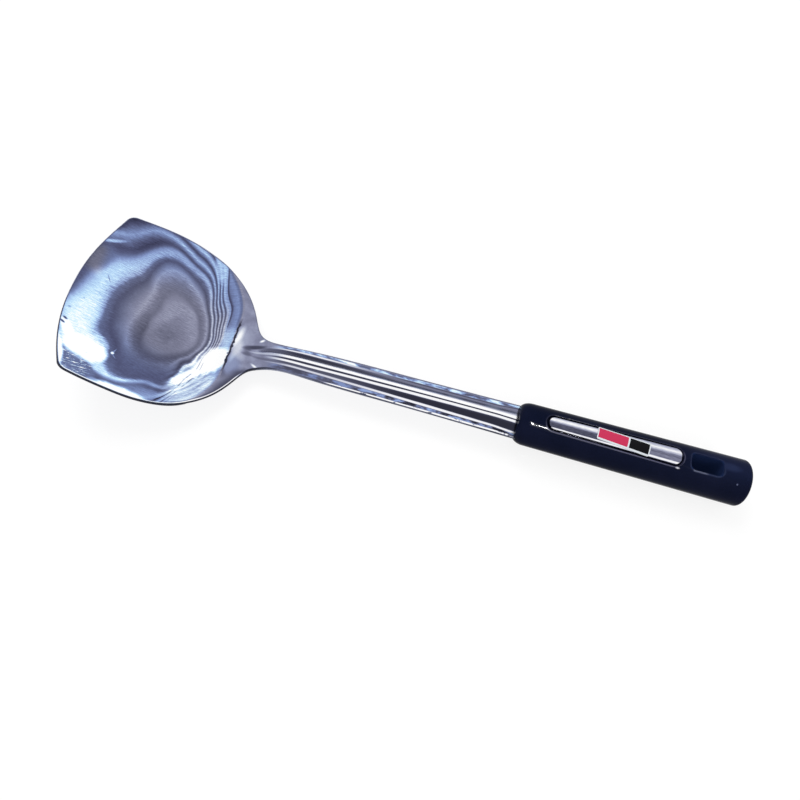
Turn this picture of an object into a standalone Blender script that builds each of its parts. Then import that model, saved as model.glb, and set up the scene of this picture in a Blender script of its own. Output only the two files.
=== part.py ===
"""Wok spatula: a stamped steel blade and shank, a moulded handle, and a domed inlay with its label."""

import math

import bmesh
import bpy
import numpy as np
from mathutils import Matrix, Vector

# Overall sizes, in metres. The tip of the blade points along -X and the object lies on z = 0.

OVERALL_LENGTH = 0.355
HANDLE_LENGTH = 0.1223
SHEET_THICKNESS = 0.0012
FIT_GAP = 0.0003

# Blade outline, measured back from the tip

BLADE_HALF_WIDTH = 0.0465
LEADING_EDGE_BULGE = 0.0115
LEADING_EDGE_POWER = 2.35
TIP_OVERHANG = 0.00054
CORNER_RADIUS = 0.0058
FLOOR_LENGTH = 0.0655
FLOOR_SIDE_LENGTH = 0.0443
CREASE_PLACE = 0.0797
CREASE_SIDE_PLACE = 0.068
NECK_END_PLACE = 0.0927
NECK_NARROW_PLACE = 0.1012
SHANK_START_PLACE = 0.1209
SHANK_MIDDLE_PLACE = 0.1682
MOUTH_HALF_WIDTH = 0.00947
SIDE_PLACE_SHARES = (0.0, 0.134, 0.34, 0.437, 0.533, 0.624, 0.704, 0.765, 0.81, 0.851, 0.891, 0.933, 1.0)
SIDE_WIDTH_SHARES = (0.908, 0.955, 0.993, 0.99, 0.958, 0.898, 0.799, 0.686, 0.57, 0.426, 0.272, 0.201, 0.167)
SHANK_WIDTH_SHARES = (0.168, 0.186)

# Heights of the sheet's upper face

HANDLE_REAR_RADIUS = 0.0124
CORNER_HEIGHT = 0.0352
RIM_PLACE_SHARES = (0.0, 0.112, 0.288, 0.447, 0.59, 0.657, 0.7125, 0.763, 0.799, 0.8375, 0.893, 1.0)
RIM_HEIGHT_SHARES = (1.169, 0.978, 0.758, 0.524, 0.36, 0.299, 0.261, 0.233, 0.249, 0.286, 0.324, 0.344)
SHANK_HEIGHT = 0.0125
FRONT_DEPTH = 0.0089
BOWL_DEPTH = 0.0132
WALL_POWER = 3.0
BACK_WALL_POWER = 1.6
CREASE_STRAIGHT_SHARE = 0.42

# Stiffening rib of the shank

RIB_START_PLACE = 0.0874
RIB_RAMP = 0.012
RIB_START_HALF_WIDTH = 0.003
RIB_END_HALF_WIDTH = 0.00665
RIB_START_HEIGHT = 0.0024
RIB_END_HEIGHT = 0.0043

# Tang inside the handle, measured back from the mouth

SHOULDER_DEPTH = 0.007
SHOULDER_TAPER = 0.0035
TANG_HALF_WIDTH = 0.006
TANG_LENGTH = 0.080
TANG_END_TAPER = 0.002
NOTCH_DEPTH = 0.0014
NOTCH_LENGTH = 0.004
NOTCH_FLANK = 0.002
NOTCH_PLACES = (0.034, 0.056)
EDGE_BEVEL = 0.00022

# Handle

HANDLE_MOUTH_RADIUS = 0.0112
NOSE_LENGTH = 0.006
NOSE_DROP = 0.0035
REAR_ROUNDING = 0.0025
REAR_DOME = 0.001

# Slot and inlay strip on top of the handle, measured forward from the rear end

SLOT_REAR_PLACE = 0.0377
SLOT_FRONT_PLACE = 0.109
SLOT_REAR_HALF_WIDTH = 0.00524
SLOT_FRONT_HALF_WIDTH = 0.00413
SLOT_DEPTH = 0.0027
SLOT_LIP = 0.0004
INLAY_END_GAP = 0.0012
INLAY_SIDE_GAP = 0.0009
INLAY_PROUD = 0.0002
INLAY_DOME = 0.0009
INLAY_BEVEL = 0.00025
INLAY_RING_SHARES = (0.3, 0.55, 0.8)

# Label on the inlay strip

LABEL_LENGTH = 0.0275
LABEL_WIDTH = 0.00685
LABEL_THICKNESS = 0.0002
LABEL_GAP = 0.0001
LABEL_CENTRE_PLACE = 0.0692
LABEL_CORNER = 0.0008
LABEL_TURN = math.radians(-4.5)

# Hanging hole near the rear end

HOLE_REAR_PLACE = 0.0169
HOLE_LENGTH = 0.0165
HOLE_HALF_WIDTH = 0.00423
HOLE_CORNER = 0.00275
HOLE_LIP = 0.0008

# Mesh steps, and the angles that tell a smooth bend from an edge

HALF_COLUMNS = 11
CORNER_STEPS = 5
FLOOR_ROWS = 12
BACK_WALL_ROWS = 8
NECK_ROWS = 10
NARROWING_ROWS = 4
WIDENING_ROWS = 5
SHANK_ROWS = 9
SHOULDER_ROWS = 3
HANDLE_SEGMENTS = 60
ARC_STEPS = 6
LABEL_STEPS = 8
LABEL_END_SHARES = (0.01, 0.03)
LIP_STEPS = 3
MERGE_DISTANCE = 0.00001
SHARP_EDGE_ANGLE = math.radians(65)
SMOOTH_ANGLE = math.radians(38)

TIP_X = -OVERALL_LENGTH / 2
REAR_X = OVERALL_LENGTH / 2
MOUTH_PLACE = OVERALL_LENGTH - HANDLE_LENGTH
AXIS_HEIGHT = HANDLE_REAR_RADIUS


# Helpers


def clear_scene():
    for old in list(bpy.data.objects):
        bpy.data.objects.remove(old, do_unlink=True)


def collection(name, hidden=False):
    made = bpy.data.collections.new(name)
    made.hide_render = hidden
    bpy.context.scene.collection.children.link(made)
    return made


def material(name, colour, roughness, metallic):
    made = bpy.data.materials.new(name)
    made.use_nodes = True
    shader = made.node_tree.nodes["Principled BSDF"]
    shader.inputs["Base Color"].default_value = (*colour, 1.0)
    shader.inputs["Roughness"].default_value = roughness
    shader.inputs["Metallic"].default_value = metallic
    return made


def smooth_step(share):
    share = min(max(share, 0.0), 1.0)
    return share * share * (3 - 2 * share)


def blend(start, end, share):
    return start + (end - start) * share


def spline(places, values):
    """A smooth curve through the points, with no bend at either end."""
    places = np.array(places)
    values = np.array(values)
    steps = np.diff(places)
    count = len(places)
    matrix = np.eye(count)
    right = np.zeros(count)
    for i in range(1, count - 1):
        matrix[i, i - 1 : i + 2] = steps[i - 1], 2 * (steps[i - 1] + steps[i]), steps[i]
        right[i] = 6 * ((values[i + 1] - values[i]) / steps[i] - (values[i] - values[i - 1]) / steps[i - 1])
    bends = np.linalg.solve(matrix, right)

    def at(place):
        i = int(np.clip(np.searchsorted(places, place) - 1, 0, count - 2))
        step = steps[i]
        after = place - places[i]
        before = places[i + 1] - place
        lifted = (bends[i] * before**3 + bends[i + 1] * after**3) / (6 * step)
        left = (values[i] / step - bends[i] * step / 6) * before
        return float(lifted + left + (values[i + 1] / step - bends[i + 1] * step / 6) * after)

    return at


def mesh_object(name, points, faces, home, finish=None):
    mesh = bpy.data.meshes.new(name)
    mesh.from_pydata([tuple(point) for point in points], [], faces)
    mesh.update()
    made = bpy.data.objects.new(name, mesh)
    if finish:
        mesh.materials.append(finish)
    home.objects.link(made)
    return made


def face_outward(made):
    shape = bmesh.new()
    shape.from_mesh(made.data)
    bmesh.ops.recalc_face_normals(shape, faces=shape.faces)
    shape.to_mesh(made.data)
    shape.free()


def shade_smooth(made, angle):
    made.data.polygons.foreach_set("use_smooth", [True] * len(made.data.polygons))
    made.data.set_sharp_from_angle(angle=angle)


def cut(made, cutter):
    boolean = made.modifiers.new("Cut by " + cutter.name, "BOOLEAN")
    boolean.operation = "DIFFERENCE"
    boolean.solver = "EXACT"
    boolean.object = cutter


def set_as_cutter(made):
    made.hide_render = True
    made.display_type = "WIRE"


# Form of the blade, the shank and the tang

side_width = spline(
    [NECK_NARROW_PLACE * share for share in SIDE_PLACE_SHARES]
    + [SHANK_START_PLACE, SHANK_MIDDLE_PLACE, MOUTH_PLACE],
    [BLADE_HALF_WIDTH * share for share in SIDE_WIDTH_SHARES + SHANK_WIDTH_SHARES] + [MOUTH_HALF_WIDTH],
)
rim_height = spline(
    [SHANK_START_PLACE * share for share in RIM_PLACE_SHARES] + [SHANK_MIDDLE_PLACE, MOUTH_PLACE],
    [CORNER_HEIGHT * share for share in RIM_HEIGHT_SHARES] + [SHANK_HEIGHT, SHANK_HEIGHT],
)


def tang_outline():
    """Places and half widths of the tang, with its shoulders and its notches."""
    start = MOUTH_PLACE + SHOULDER_DEPTH
    end = MOUTH_PLACE + TANG_LENGTH
    outline = [(MOUTH_PLACE, MOUTH_HALF_WIDTH), (start, MOUTH_HALF_WIDTH)]
    outline.append((start + SHOULDER_TAPER, TANG_HALF_WIDTH))
    for place in NOTCH_PLACES:
        notch = MOUTH_PLACE + place
        outline.append((notch, TANG_HALF_WIDTH))
        outline.append((notch + NOTCH_FLANK, TANG_HALF_WIDTH - NOTCH_DEPTH))
        outline.append((notch + NOTCH_FLANK + NOTCH_LENGTH, TANG_HALF_WIDTH - NOTCH_DEPTH))
        outline.append((notch + 2 * NOTCH_FLANK + NOTCH_LENGTH, TANG_HALF_WIDTH))
    outline.append((end - TANG_END_TAPER, TANG_HALF_WIDTH))
    outline.append((end, TANG_HALF_WIDTH - TANG_END_TAPER))
    return outline


def rib_height(place, across):
    run = (place - RIB_START_PLACE) / (MOUTH_PLACE - RIB_START_PLACE)
    half_width = blend(RIB_START_HALF_WIDTH, RIB_END_HALF_WIDTH, run)
    height = blend(RIB_START_HEIGHT, RIB_END_HEIGHT, run) * smooth_step((place - RIB_START_PLACE) / RIB_RAMP)
    fade = 1 - smooth_step((place - MOUTH_PLACE) / (SHOULDER_DEPTH + SHOULDER_TAPER))
    return height * fade * (1 - smooth_step(abs(across) / half_width))


def level(place):
    return rim_height(min(place, MOUTH_PLACE))


class Row:
    """One line of points across the sheet: its middle, its end, and how far it dips."""

    def __init__(self, middle, rim, half_width, depth=0.0, crease=0.0, reach=1.0):
        self.middle = middle
        self.rim = rim
        self.half_width = half_width
        self.depth = depth
        self.crease = crease
        self.reach = reach

    def point(self, share):
        turned = (max(share - CREASE_STRAIGHT_SHARE, 0.0) / (1 - CREASE_STRAIGHT_SHARE)) ** 2
        place = blend(self.middle, self.rim, blend(share**LEADING_EDGE_POWER, turned, self.crease))
        across = share * self.half_width
        height = level(place) + rib_height(place, across) - self.depth * (1 - (share * self.reach) ** WALL_POWER)
        return Vector((TIP_X + place, across, height))


def spread(count, start=0.0):
    return [start + (1 - start) * (i + 1) / count for i in range(count)]


def blade_rows():
    """Rows from the leading edge, round the front corner, up the back wall and over the crease to the neck."""
    start = LEADING_EDGE_BULGE + TIP_OVERHANG
    first_angle = math.atan(LEADING_EDGE_POWER * LEADING_EDGE_BULGE / side_width(start))
    last_angle = math.atan(CORNER_RADIUS / (side_width(start + CORNER_RADIUS) - side_width(start)))
    rims = []
    insets = []
    for step in range(CORNER_STEPS + 1):
        angle = blend(first_angle, last_angle, step / CORNER_STEPS)
        rims.append(start + CORNER_RADIUS * (math.cos(first_angle) - math.cos(angle)))
        insets.append(CORNER_RADIUS * (math.sin(last_angle) - math.sin(angle)))
    corner_width = side_width(rims[-1])
    half_widths = [corner_width - inset for inset in insets]
    for share in spread(FLOOR_ROWS):
        rims.append(blend(rims[CORNER_STEPS], FLOOR_SIDE_LENGTH, share))
        half_widths.append(side_width(rims[-1]))
    rows = []
    for rim, half_width in zip(rims, half_widths):
        share = (rim - start) / (FLOOR_SIDE_LENGTH - start)
        middle = blend(TIP_OVERHANG, FLOOR_LENGTH, share)
        depth = blend(FRONT_DEPTH, BOWL_DEPTH, share)
        rows.append(Row(middle, rim, half_width, depth, reach=half_width / side_width(rim)))
    for share in spread(BACK_WALL_ROWS):
        rim = blend(FLOOR_SIDE_LENGTH, CREASE_SIDE_PLACE, share)
        middle = blend(FLOOR_LENGTH, CREASE_PLACE, share)
        depth = BOWL_DEPTH * (1 - share**BACK_WALL_POWER)
        rows.append(Row(middle, rim, side_width(rim), depth, share))
    for share in spread(NECK_ROWS):
        rim = blend(CREASE_SIDE_PLACE, NECK_END_PLACE, share)
        middle = blend(CREASE_PLACE, NECK_END_PLACE, share)
        rows.append(Row(middle, rim, side_width(rim), 0.0, 1 - share))
    return rows


def shank_rows():
    places = []
    for start, end, count in (
        (NECK_END_PLACE, NECK_NARROW_PLACE, NARROWING_ROWS),
        (NECK_NARROW_PLACE, SHANK_START_PLACE, WIDENING_ROWS),
        (SHANK_START_PLACE, MOUTH_PLACE, SHANK_ROWS),
    ):
        places += [blend(start, end, share) for share in spread(count)]
    return [Row(place, place, side_width(place)) for place in places]


def tang_rows(gap=0.0):
    outline = tang_outline()
    rows = []
    for (start, start_width), (end, end_width) in zip(outline, outline[1:]):
        count = SHOULDER_ROWS if end <= MOUTH_PLACE + SHOULDER_DEPTH + SHOULDER_TAPER else 1
        for share in spread(count):
            place = blend(start, end, share)
            rows.append(Row(place, place, blend(start_width, end_width, share) + gap))
    rows[-1].middle += gap
    rows[-1].rim += gap
    return rows


def half_sheet(name, rows, home, finish=None):
    """The half of the sheet's upper face with y > 0, open at the middle plane."""
    points = [row.point(column / HALF_COLUMNS) for row in rows for column in range(HALF_COLUMNS + 1)]
    wide = HALF_COLUMNS + 1
    faces = []
    for i in range(len(rows) - 1):
        for j in range(HALF_COLUMNS):
            first = i * wide + j
            faces.append((first, first + wide, first + wide + 1, first + 1))
    made = mesh_object(name, points, faces, home, finish)
    mirror = made.modifiers.new("Other half", "MIRROR")
    mirror.use_axis = (False, True, False)
    mirror.merge_threshold = MERGE_DISTANCE
    return made


def thicken(made, thickness, offset):
    solidify = made.modifiers.new("Sheet", "SOLIDIFY")
    solidify.thickness = thickness
    solidify.offset = offset
    solidify.use_even_offset = True
    return solidify


# Handle


def handle_radius(x):
    share = (x - TIP_X - MOUTH_PLACE) / HANDLE_LENGTH
    return blend(HANDLE_MOUTH_RADIUS, HANDLE_REAR_RADIUS, share)


def handle_profile():
    """The handle's outer side from the middle of its rear end to the middle of its nose."""
    tilt = math.atan(2 * REAR_DOME / (HANDLE_REAR_RADIUS - REAR_ROUNDING))
    edge = HANDLE_REAR_RADIUS - REAR_ROUNDING * (1 - math.sin(tilt))
    profile = []
    for i in range(ARC_STEPS):
        across = edge * i / ARC_STEPS
        profile.append((across, HANDLE_LENGTH - REAR_DOME * (across / edge) ** 2))
    centre = HANDLE_LENGTH - REAR_DOME - REAR_ROUNDING * math.cos(tilt)
    for i in range(ARC_STEPS + 1):
        angle = blend(tilt, math.pi / 2, i / ARC_STEPS)
        across = HANDLE_REAR_RADIUS - REAR_ROUNDING * (1 - math.sin(angle))
        profile.append((across, centre + REAR_ROUNDING * math.cos(angle)))
    for i in range(1, ARC_STEPS):
        share = i / ARC_STEPS
        profile.append((blend(HANDLE_REAR_RADIUS, HANDLE_MOUTH_RADIUS, share), blend(centre, NOSE_LENGTH, share)))
    for i in range(ARC_STEPS + 1):
        angle = math.pi / 2 * (1 - i / ARC_STEPS)
        across = HANDLE_MOUTH_RADIUS - NOSE_DROP * (1 - math.sin(angle))
        profile.append((across, NOSE_LENGTH * (1 - math.cos(angle))))
    profile.append((0.0, 0.0))
    return profile


def handle_body(home, finish):
    profile = handle_profile()
    points = [(across, 0.0, along) for across, along in profile]
    mesh = bpy.data.meshes.new("handle_grip")
    mesh.from_pydata(points, [(i, i + 1) for i in range(len(points) - 1)], [])
    made = bpy.data.objects.new("handle_grip", mesh)
    mesh.materials.append(finish)
    home.objects.link(made)
    screw = made.modifiers.new("Turned form", "SCREW")
    screw.steps = HANDLE_SEGMENTS
    screw.render_steps = HANDLE_SEGMENTS
    screw.use_merge_vertices = True
    screw.merge_threshold = MERGE_DISTANCE
    screw.use_smooth_shade = True
    made.location = (TIP_X + MOUTH_PLACE, 0, AXIS_HEIGHT)
    made.rotation_euler = (0, math.pi / 2, 0)
    return made


def rounded_outline(rear, front, rear_half_width, front_half_width, corner, grow=0.0):
    """Points round a long hole with rounded corners, seen from above."""
    rear += grow
    front -= grow
    corner += grow
    rear_half_width += grow
    front_half_width += grow
    corners = (
        (rear - corner, rear_half_width - corner, 0),
        (front + corner, front_half_width - corner, 1),
        (front + corner, corner - front_half_width, 2),
        (rear - corner, corner - rear_half_width, 3),
    )
    outline = []
    for x, y, quarter in corners:
        for i in range(ARC_STEPS + 1):
            angle = math.pi / 2 * (quarter + i / ARC_STEPS)
            outline.append((x + corner * math.cos(angle), y + corner * math.sin(angle)))
    return outline


def lofted(name, rings, home, finish=None):
    """A closed solid through rings of points that match one to one."""
    count = len(rings[0])
    points = [point for ring in rings for point in ring]
    faces = []
    for i in range(len(rings) - 1):
        for j in range(count):
            after = (j + 1) % count
            faces.append((i * count + j, i * count + after, (i + 1) * count + after, (i + 1) * count + j))
    faces.append(tuple(reversed(range(count))))
    faces.append(tuple(range((len(rings) - 1) * count, len(rings) * count)))
    made = mesh_object(name, points, faces, home, finish)
    face_outward(made)
    return made


def lip_rings(outline, side, lip):
    """Rings that widen a cut where it leaves the handle's upper (1) or lower (-1) side, for a rounded edge."""
    rings = []
    for i in range(LIP_STEPS + 1):
        angle = math.pi / 2 * i / LIP_STEPS
        lift = lip * (math.sin(angle) - 1)
        ring = []
        for x, y in outline(lip * (1 - math.cos(angle))):
            ring.append((x, y, AXIS_HEIGHT + side * (math.sqrt(handle_radius(x) ** 2 - y**2) + lift)))
        rings.append(ring)
    rings.append([(x, y, AXIS_HEIGHT + side * (handle_radius(x) + lip)) for x, y in outline(lip)])
    return rings


def hole_cutter(home):
    rear = REAR_X - HOLE_REAR_PLACE

    def outline(grow):
        return rounded_outline(rear, rear - HOLE_LENGTH, HOLE_HALF_WIDTH, HOLE_HALF_WIDTH, HOLE_CORNER, grow)

    upper = lip_rings(outline, 1, HOLE_LIP)
    lower = lip_rings(outline, -1, HOLE_LIP)
    return lofted("hanging_hole_cutter", lower[::-1] + upper, home)


def slot_outline(grow):
    return rounded_outline(
        REAR_X - SLOT_REAR_PLACE,
        REAR_X - SLOT_FRONT_PLACE,
        SLOT_REAR_HALF_WIDTH,
        SLOT_FRONT_HALF_WIDTH,
        SLOT_FRONT_HALF_WIDTH - SLOT_LIP,
        grow,
    )


def top_line(x):
    return AXIS_HEIGHT + handle_radius(x)


def slot_cutter(home):
    floor = [(x, y, top_line(x) - SLOT_DEPTH) for x, y in slot_outline(0.0)]
    return lofted("inlay_slot_cutter", [floor] + lip_rings(slot_outline, 1, SLOT_LIP), home)


# Inlay strip and its label


def inlay_half_width(x):
    share = (REAR_X - SLOT_REAR_PLACE - x) / (SLOT_FRONT_PLACE - SLOT_REAR_PLACE)
    return blend(SLOT_REAR_HALF_WIDTH, SLOT_FRONT_HALF_WIDTH, share) - INLAY_SIDE_GAP


def inlay_height(x, y):
    return top_line(x) + INLAY_PROUD - INLAY_DOME * (y / inlay_half_width(x)) ** 2


def inlay_strip(home, finish):
    rear = REAR_X - SLOT_REAR_PLACE - INLAY_END_GAP
    front = REAR_X - SLOT_FRONT_PLACE + INLAY_END_GAP
    wide = inlay_half_width(rear)
    narrow = inlay_half_width(front)
    edge = rounded_outline(rear, front, wide, narrow, narrow)

    def ring(inset, lift):
        points = []
        for x, y in edge:
            spine = min(max(x, front + narrow), rear - wide)
            inner_x = blend(x, spine, inset)
            inner_y = blend(y, 0.0, inset)
            points.append((inner_x, inner_y, inlay_height(inner_x, inner_y) + lift))
        return points

    base = [(x, y, top_line(x) - SLOT_DEPTH + FIT_GAP) for x, y in edge]
    bevel_share = INLAY_BEVEL / wide
    rings = [base, ring(0.0, -INLAY_BEVEL), ring(bevel_share, 0.0)]
    rings += [ring(share, 0.0) for share in INLAY_RING_SHARES]
    return lofted("handle_inlay", rings, home, finish)


def inlay_label(home, finish):
    """A thin film that follows the dome of the strip, set slightly askew."""
    centre = Vector((REAR_X - LABEL_CENTRE_PLACE, 0.0, 0.0))
    turn = Matrix.Rotation(LABEL_TURN, 3, "Z")
    ends = [0.0, *LABEL_END_SHARES]
    along_shares = ends + [i / LABEL_STEPS for i in range(1, LABEL_STEPS)] + [1 - share for share in ends[::-1]]
    points = []
    for along in along_shares:
        inside = min(along, 1 - along) * LABEL_LENGTH
        behind = min(inside, LABEL_CORNER)
        corner = LABEL_CORNER - math.sqrt(LABEL_CORNER**2 - (LABEL_CORNER - behind) ** 2)
        for column in range(LABEL_STEPS + 1):
            side = (2 * column / LABEL_STEPS - 1) * (LABEL_WIDTH / 2 - corner)
            point = centre + turn @ Vector(((along - 1 / 2) * LABEL_LENGTH, side, 0.0))
            point.z = inlay_height(point.x, point.y) + LABEL_GAP
            points.append(point)
    wide = LABEL_STEPS + 1
    faces = []
    for i in range(len(along_shares) - 1):
        for j in range(LABEL_STEPS):
            first = i * wide + j
            faces.append((first, first + wide, first + wide + 1, first + 1))
    made = mesh_object("inlay_label", points, faces, home, finish)
    thicken(made, LABEL_THICKNESS, 1.0)
    return made


# Assembly


def bevel_edges(made):
    bevel = made.modifiers.new("Smoothed cut edge", "BEVEL")
    bevel.width = EDGE_BEVEL
    bevel.segments = 1
    bevel.limit_method = "ANGLE"
    bevel.angle_limit = SHARP_EDGE_ANGLE
    return bevel


def main():
    clear_scene()
    parts = collection("wok_spatula")
    cutters = collection("wok_spatula_cutters", hidden=True)
    steel = material("brushed_steel", (0.60, 0.61, 0.66), 0.26, 1.0)
    plastic = material("navy_black_plastic", (0.012, 0.015, 0.032), 0.16, 0.0)
    satin = material("satin_inlay", (0.66, 0.67, 0.70), 0.38, 1.0)
    film = material("label_film", (0.62, 0.07, 0.11), 0.42, 0.0)

    sheet = half_sheet("blade_and_shank", blade_rows() + shank_rows() + tang_rows(), parts, steel)
    thicken(sheet, SHEET_THICKNESS, -1.0)
    bevel_edges(sheet)
    shade_smooth(sheet, SMOOTH_ANGLE)

    outside = MOUTH_PLACE - SHOULDER_DEPTH
    entry = [Row(place, place, MOUTH_HALF_WIDTH + FIT_GAP) for place in (outside, MOUTH_PLACE)]
    socket = half_sheet("tang_socket_cutter", entry + tang_rows(FIT_GAP), cutters)
    thicken(socket, SHEET_THICKNESS + 2 * FIT_GAP, -SHEET_THICKNESS / (SHEET_THICKNESS + 2 * FIT_GAP))

    handle = handle_body(parts, plastic)
    for cutter in (socket, slot_cutter(cutters), hole_cutter(cutters)):
        set_as_cutter(cutter)
        cut(handle, cutter)

    shade_smooth(inlay_strip(parts, satin), SMOOTH_ANGLE)
    shade_smooth(inlay_label(parts, film), SMOOTH_ANGLE)


main()
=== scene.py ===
# %% [markdown]
# # A steel wok spatula
#
# This lesson dresses a finished solid model of a wok spatula: one stamped steel sheet that is blade, neck and
# shank, a moulded handle, a domed metal strip let into the handle, and a blank film label on the strip. The solid
# model is loaded first and stays where it is. Each part is then made again with a finer mesh, in the same place and
# with the same sizes, so that curved steel and glossy plastic shade smoothly.

# %% Load the solid model

import math

import bpy
import numpy as np
from mathutils import Matrix, Vector


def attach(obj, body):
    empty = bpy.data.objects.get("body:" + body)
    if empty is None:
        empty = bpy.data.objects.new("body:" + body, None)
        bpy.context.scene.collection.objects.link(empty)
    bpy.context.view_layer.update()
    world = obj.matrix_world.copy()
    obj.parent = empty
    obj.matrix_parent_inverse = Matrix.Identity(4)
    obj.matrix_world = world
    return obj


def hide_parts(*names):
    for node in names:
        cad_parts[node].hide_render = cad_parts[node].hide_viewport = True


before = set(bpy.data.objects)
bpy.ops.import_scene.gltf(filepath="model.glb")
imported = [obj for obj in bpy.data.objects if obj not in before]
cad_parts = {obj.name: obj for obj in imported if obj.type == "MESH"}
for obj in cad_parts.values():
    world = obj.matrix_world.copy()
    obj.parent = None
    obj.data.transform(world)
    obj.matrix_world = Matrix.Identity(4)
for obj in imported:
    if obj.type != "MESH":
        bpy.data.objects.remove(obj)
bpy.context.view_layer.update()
print("solid parts:", sorted(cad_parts))

# %% [markdown]
# ## Sizes
#
# All lengths are in metres. The object lies along X with the tip of the blade at the low end, so the easiest way to
# say where something is along it is its distance back from the tip, which is called its place.

# %% Sizes that the parts share

LENGTH = 0.355
TIP_X = -LENGTH / 2
REAR_X = LENGTH / 2
HANDLE_LENGTH = 0.1223
MOUTH_PLACE = LENGTH - HANDLE_LENGTH
AXIS_HEIGHT = 0.0124
print("handle mouth at x =", round(TIP_X + MOUTH_PLACE, 4))

# %% [markdown]
# Pressed steel and moulded plastic change gently along their length. Three helpers describe that: a straight blend
# between two sizes, a soft step, and a smooth curve through a few measured places.

# %% Blends, soft steps and smooth curves


def blend(start, end, share):
    return start + (end - start) * share


def smooth_step(share):
    share = min(max(share, 0.0), 1.0)
    return share * share * (3 - 2 * share)


def spline(places, values):
    """A smooth curve through the points, with no bend at either end."""
    places = np.array(places, float)
    values = np.array(values, float)
    steps = np.diff(places)
    count = len(places)
    matrix = np.eye(count)
    right = np.zeros(count)
    for i in range(1, count - 1):
        matrix[i, i - 1 : i + 2] = steps[i - 1], 2 * (steps[i - 1] + steps[i]), steps[i]
        right[i] = 6 * ((values[i + 1] - values[i]) / steps[i] - (values[i] - values[i - 1]) / steps[i - 1])
    bends = np.linalg.solve(matrix, right)

    def at(place):
        i = int(np.clip(np.searchsorted(places, place) - 1, 0, count - 2))
        step = steps[i]
        after = place - places[i]
        before = places[i + 1] - place
        lifted = (bends[i] * before**3 + bends[i + 1] * after**3) / (6 * step)
        left = (values[i] / step - bends[i] * step / 6) * before
        return float(lifted + left + (values[i + 1] / step - bends[i + 1] * step / 6) * after)

    return at


print("a soft step a quarter of the way:", smooth_step(0.25))

# %% [markdown]
# ## Camera
#
# The photograph looks down on the spatula from above its near side, turned a little so that the handle runs down to
# the right. The camera's place and its three axes were worked out from the outline in the photograph: the known
# length, the round handle and the blade's symmetry fix them.

# %% The camera at the photograph's angle

CAMERA_PLACE = Vector((-0.00596, -0.15221, 0.35354))
CAMERA_RIGHT = Vector((0.96408, 0.24407, 0.10481))
CAMERA_UP = Vector((-0.26562, 0.88586, 0.38039))
CAMERA_LENS_MM = 32.4
CAMERA_FILM_MM = 36.0

camera_data = bpy.data.cameras.new("camera")
camera_data.lens = CAMERA_LENS_MM
camera_data.sensor_width = CAMERA_FILM_MM
camera_data.clip_start = 0.01
camera = bpy.data.objects.new("camera", camera_data)
bpy.context.scene.collection.objects.link(camera)
camera_back = CAMERA_RIGHT.cross(CAMERA_UP).normalized()
turn = Matrix((CAMERA_RIGHT, CAMERA_UP, camera_back)).transposed().to_4x4()
camera.matrix_world = Matrix.Translation(CAMERA_PLACE) @ turn
bpy.context.scene.camera = camera
print("camera looks along", [round(-value, 3) for value in camera_back])

# %% [markdown]
# ## Sums with shader nodes
#
# A finish is easier to read as a formula than as a heap of nodes. A Wire stands for one output of a node. Adding or
# multiplying two wires adds a Math node, and numbers may stand on either side.

# %% Wires


class Wire:
    """One output of a shader node, ready for sums."""

    def __init__(self, graph, socket):
        self.graph = graph
        self.socket = socket

    def __add__(self, other):
        return self.graph.math("ADD", self, other)

    def __radd__(self, other):
        return self.graph.math("ADD", other, self)

    def __sub__(self, other):
        return self.graph.math("SUBTRACT", self, other)

    def __rsub__(self, other):
        return self.graph.math("SUBTRACT", other, self)

    def __mul__(self, other):
        return self.graph.math("MULTIPLY", self, other)

    def __rmul__(self, other):
        return self.graph.math("MULTIPLY", other, self)

    def __truediv__(self, other):
        return self.graph.math("DIVIDE", self, other)

    def __rtruediv__(self, other):
        return self.graph.math("DIVIDE", other, self)


print("wires can be added, subtracted, multiplied and divided")

# %% [markdown]
# A Graph is the nodes of one material, or of the world. Every node that isn't a sum comes from one method, which
# sets the node's own settings first, such as the stops of a ramp, and then the values or links of its sockets. The
# methods after it are short names for the kinds of node that are used most.

# %% Graphs of nodes


class Graph:
    """The nodes of one material, or of the world."""

    def __init__(self, tree):
        self.tree = tree

    def node(self, kind, settings=None, sockets=None, output=0):
        made = self.tree.nodes.new(kind)
        for key, value in (settings or {}).items():
            if key == "stops":
                self.set_stops(made.color_ramp, value)
            else:
                setattr(made, key, value)
        for key, value in (sockets or {}).items():
            self.feed(made.inputs[key], value)
        return Wire(self, made.outputs[output])

    def set_stops(self, ramp, stops):
        while len(ramp.elements) < len(stops):
            ramp.elements.new(1.0)
        for element, (place, value) in zip(ramp.elements, stops):
            element.position = place
            colour = value if isinstance(value, tuple) else (value,) * 3
            element.color = (*colour, 1.0)

    def feed(self, socket, value):
        if isinstance(value, Wire):
            self.tree.links.new(value.socket, socket)
        elif isinstance(value, tuple) and socket.type == "RGBA":
            socket.default_value = (*value, 1.0)
        else:
            socket.default_value = value

    def math(self, operation, *values):
        return self.node("ShaderNodeMath", {"operation": operation}, dict(enumerate(values)))

    def vector(self, operation, *values, output=0):
        return self.node("ShaderNodeVectorMath", {"operation": operation}, dict(enumerate(values)), output)

    def length(self, vector):
        return self.vector("LENGTH", vector, output=1)

    def largest(self, *values):
        most = values[0]
        for value in values[1:]:
            most = self.math("MAXIMUM", most, value)
        return most

    def join(self, x, y, z=0.0):
        return self.node("ShaderNodeCombineXYZ", {}, {0: x, 1: y, 2: z})

    def split(self, vector):
        parts = self.node("ShaderNodeSeparateXYZ", {}, {0: vector}).socket.node
        return [Wire(self, output) for output in parts.outputs]

    def ramp(self, value, stops):
        return self.node("ShaderNodeValToRGB", {"stops": stops}, {"Fac": value})


print("methods of a graph:", [name for name in vars(Graph) if not name.startswith("_")])

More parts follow.
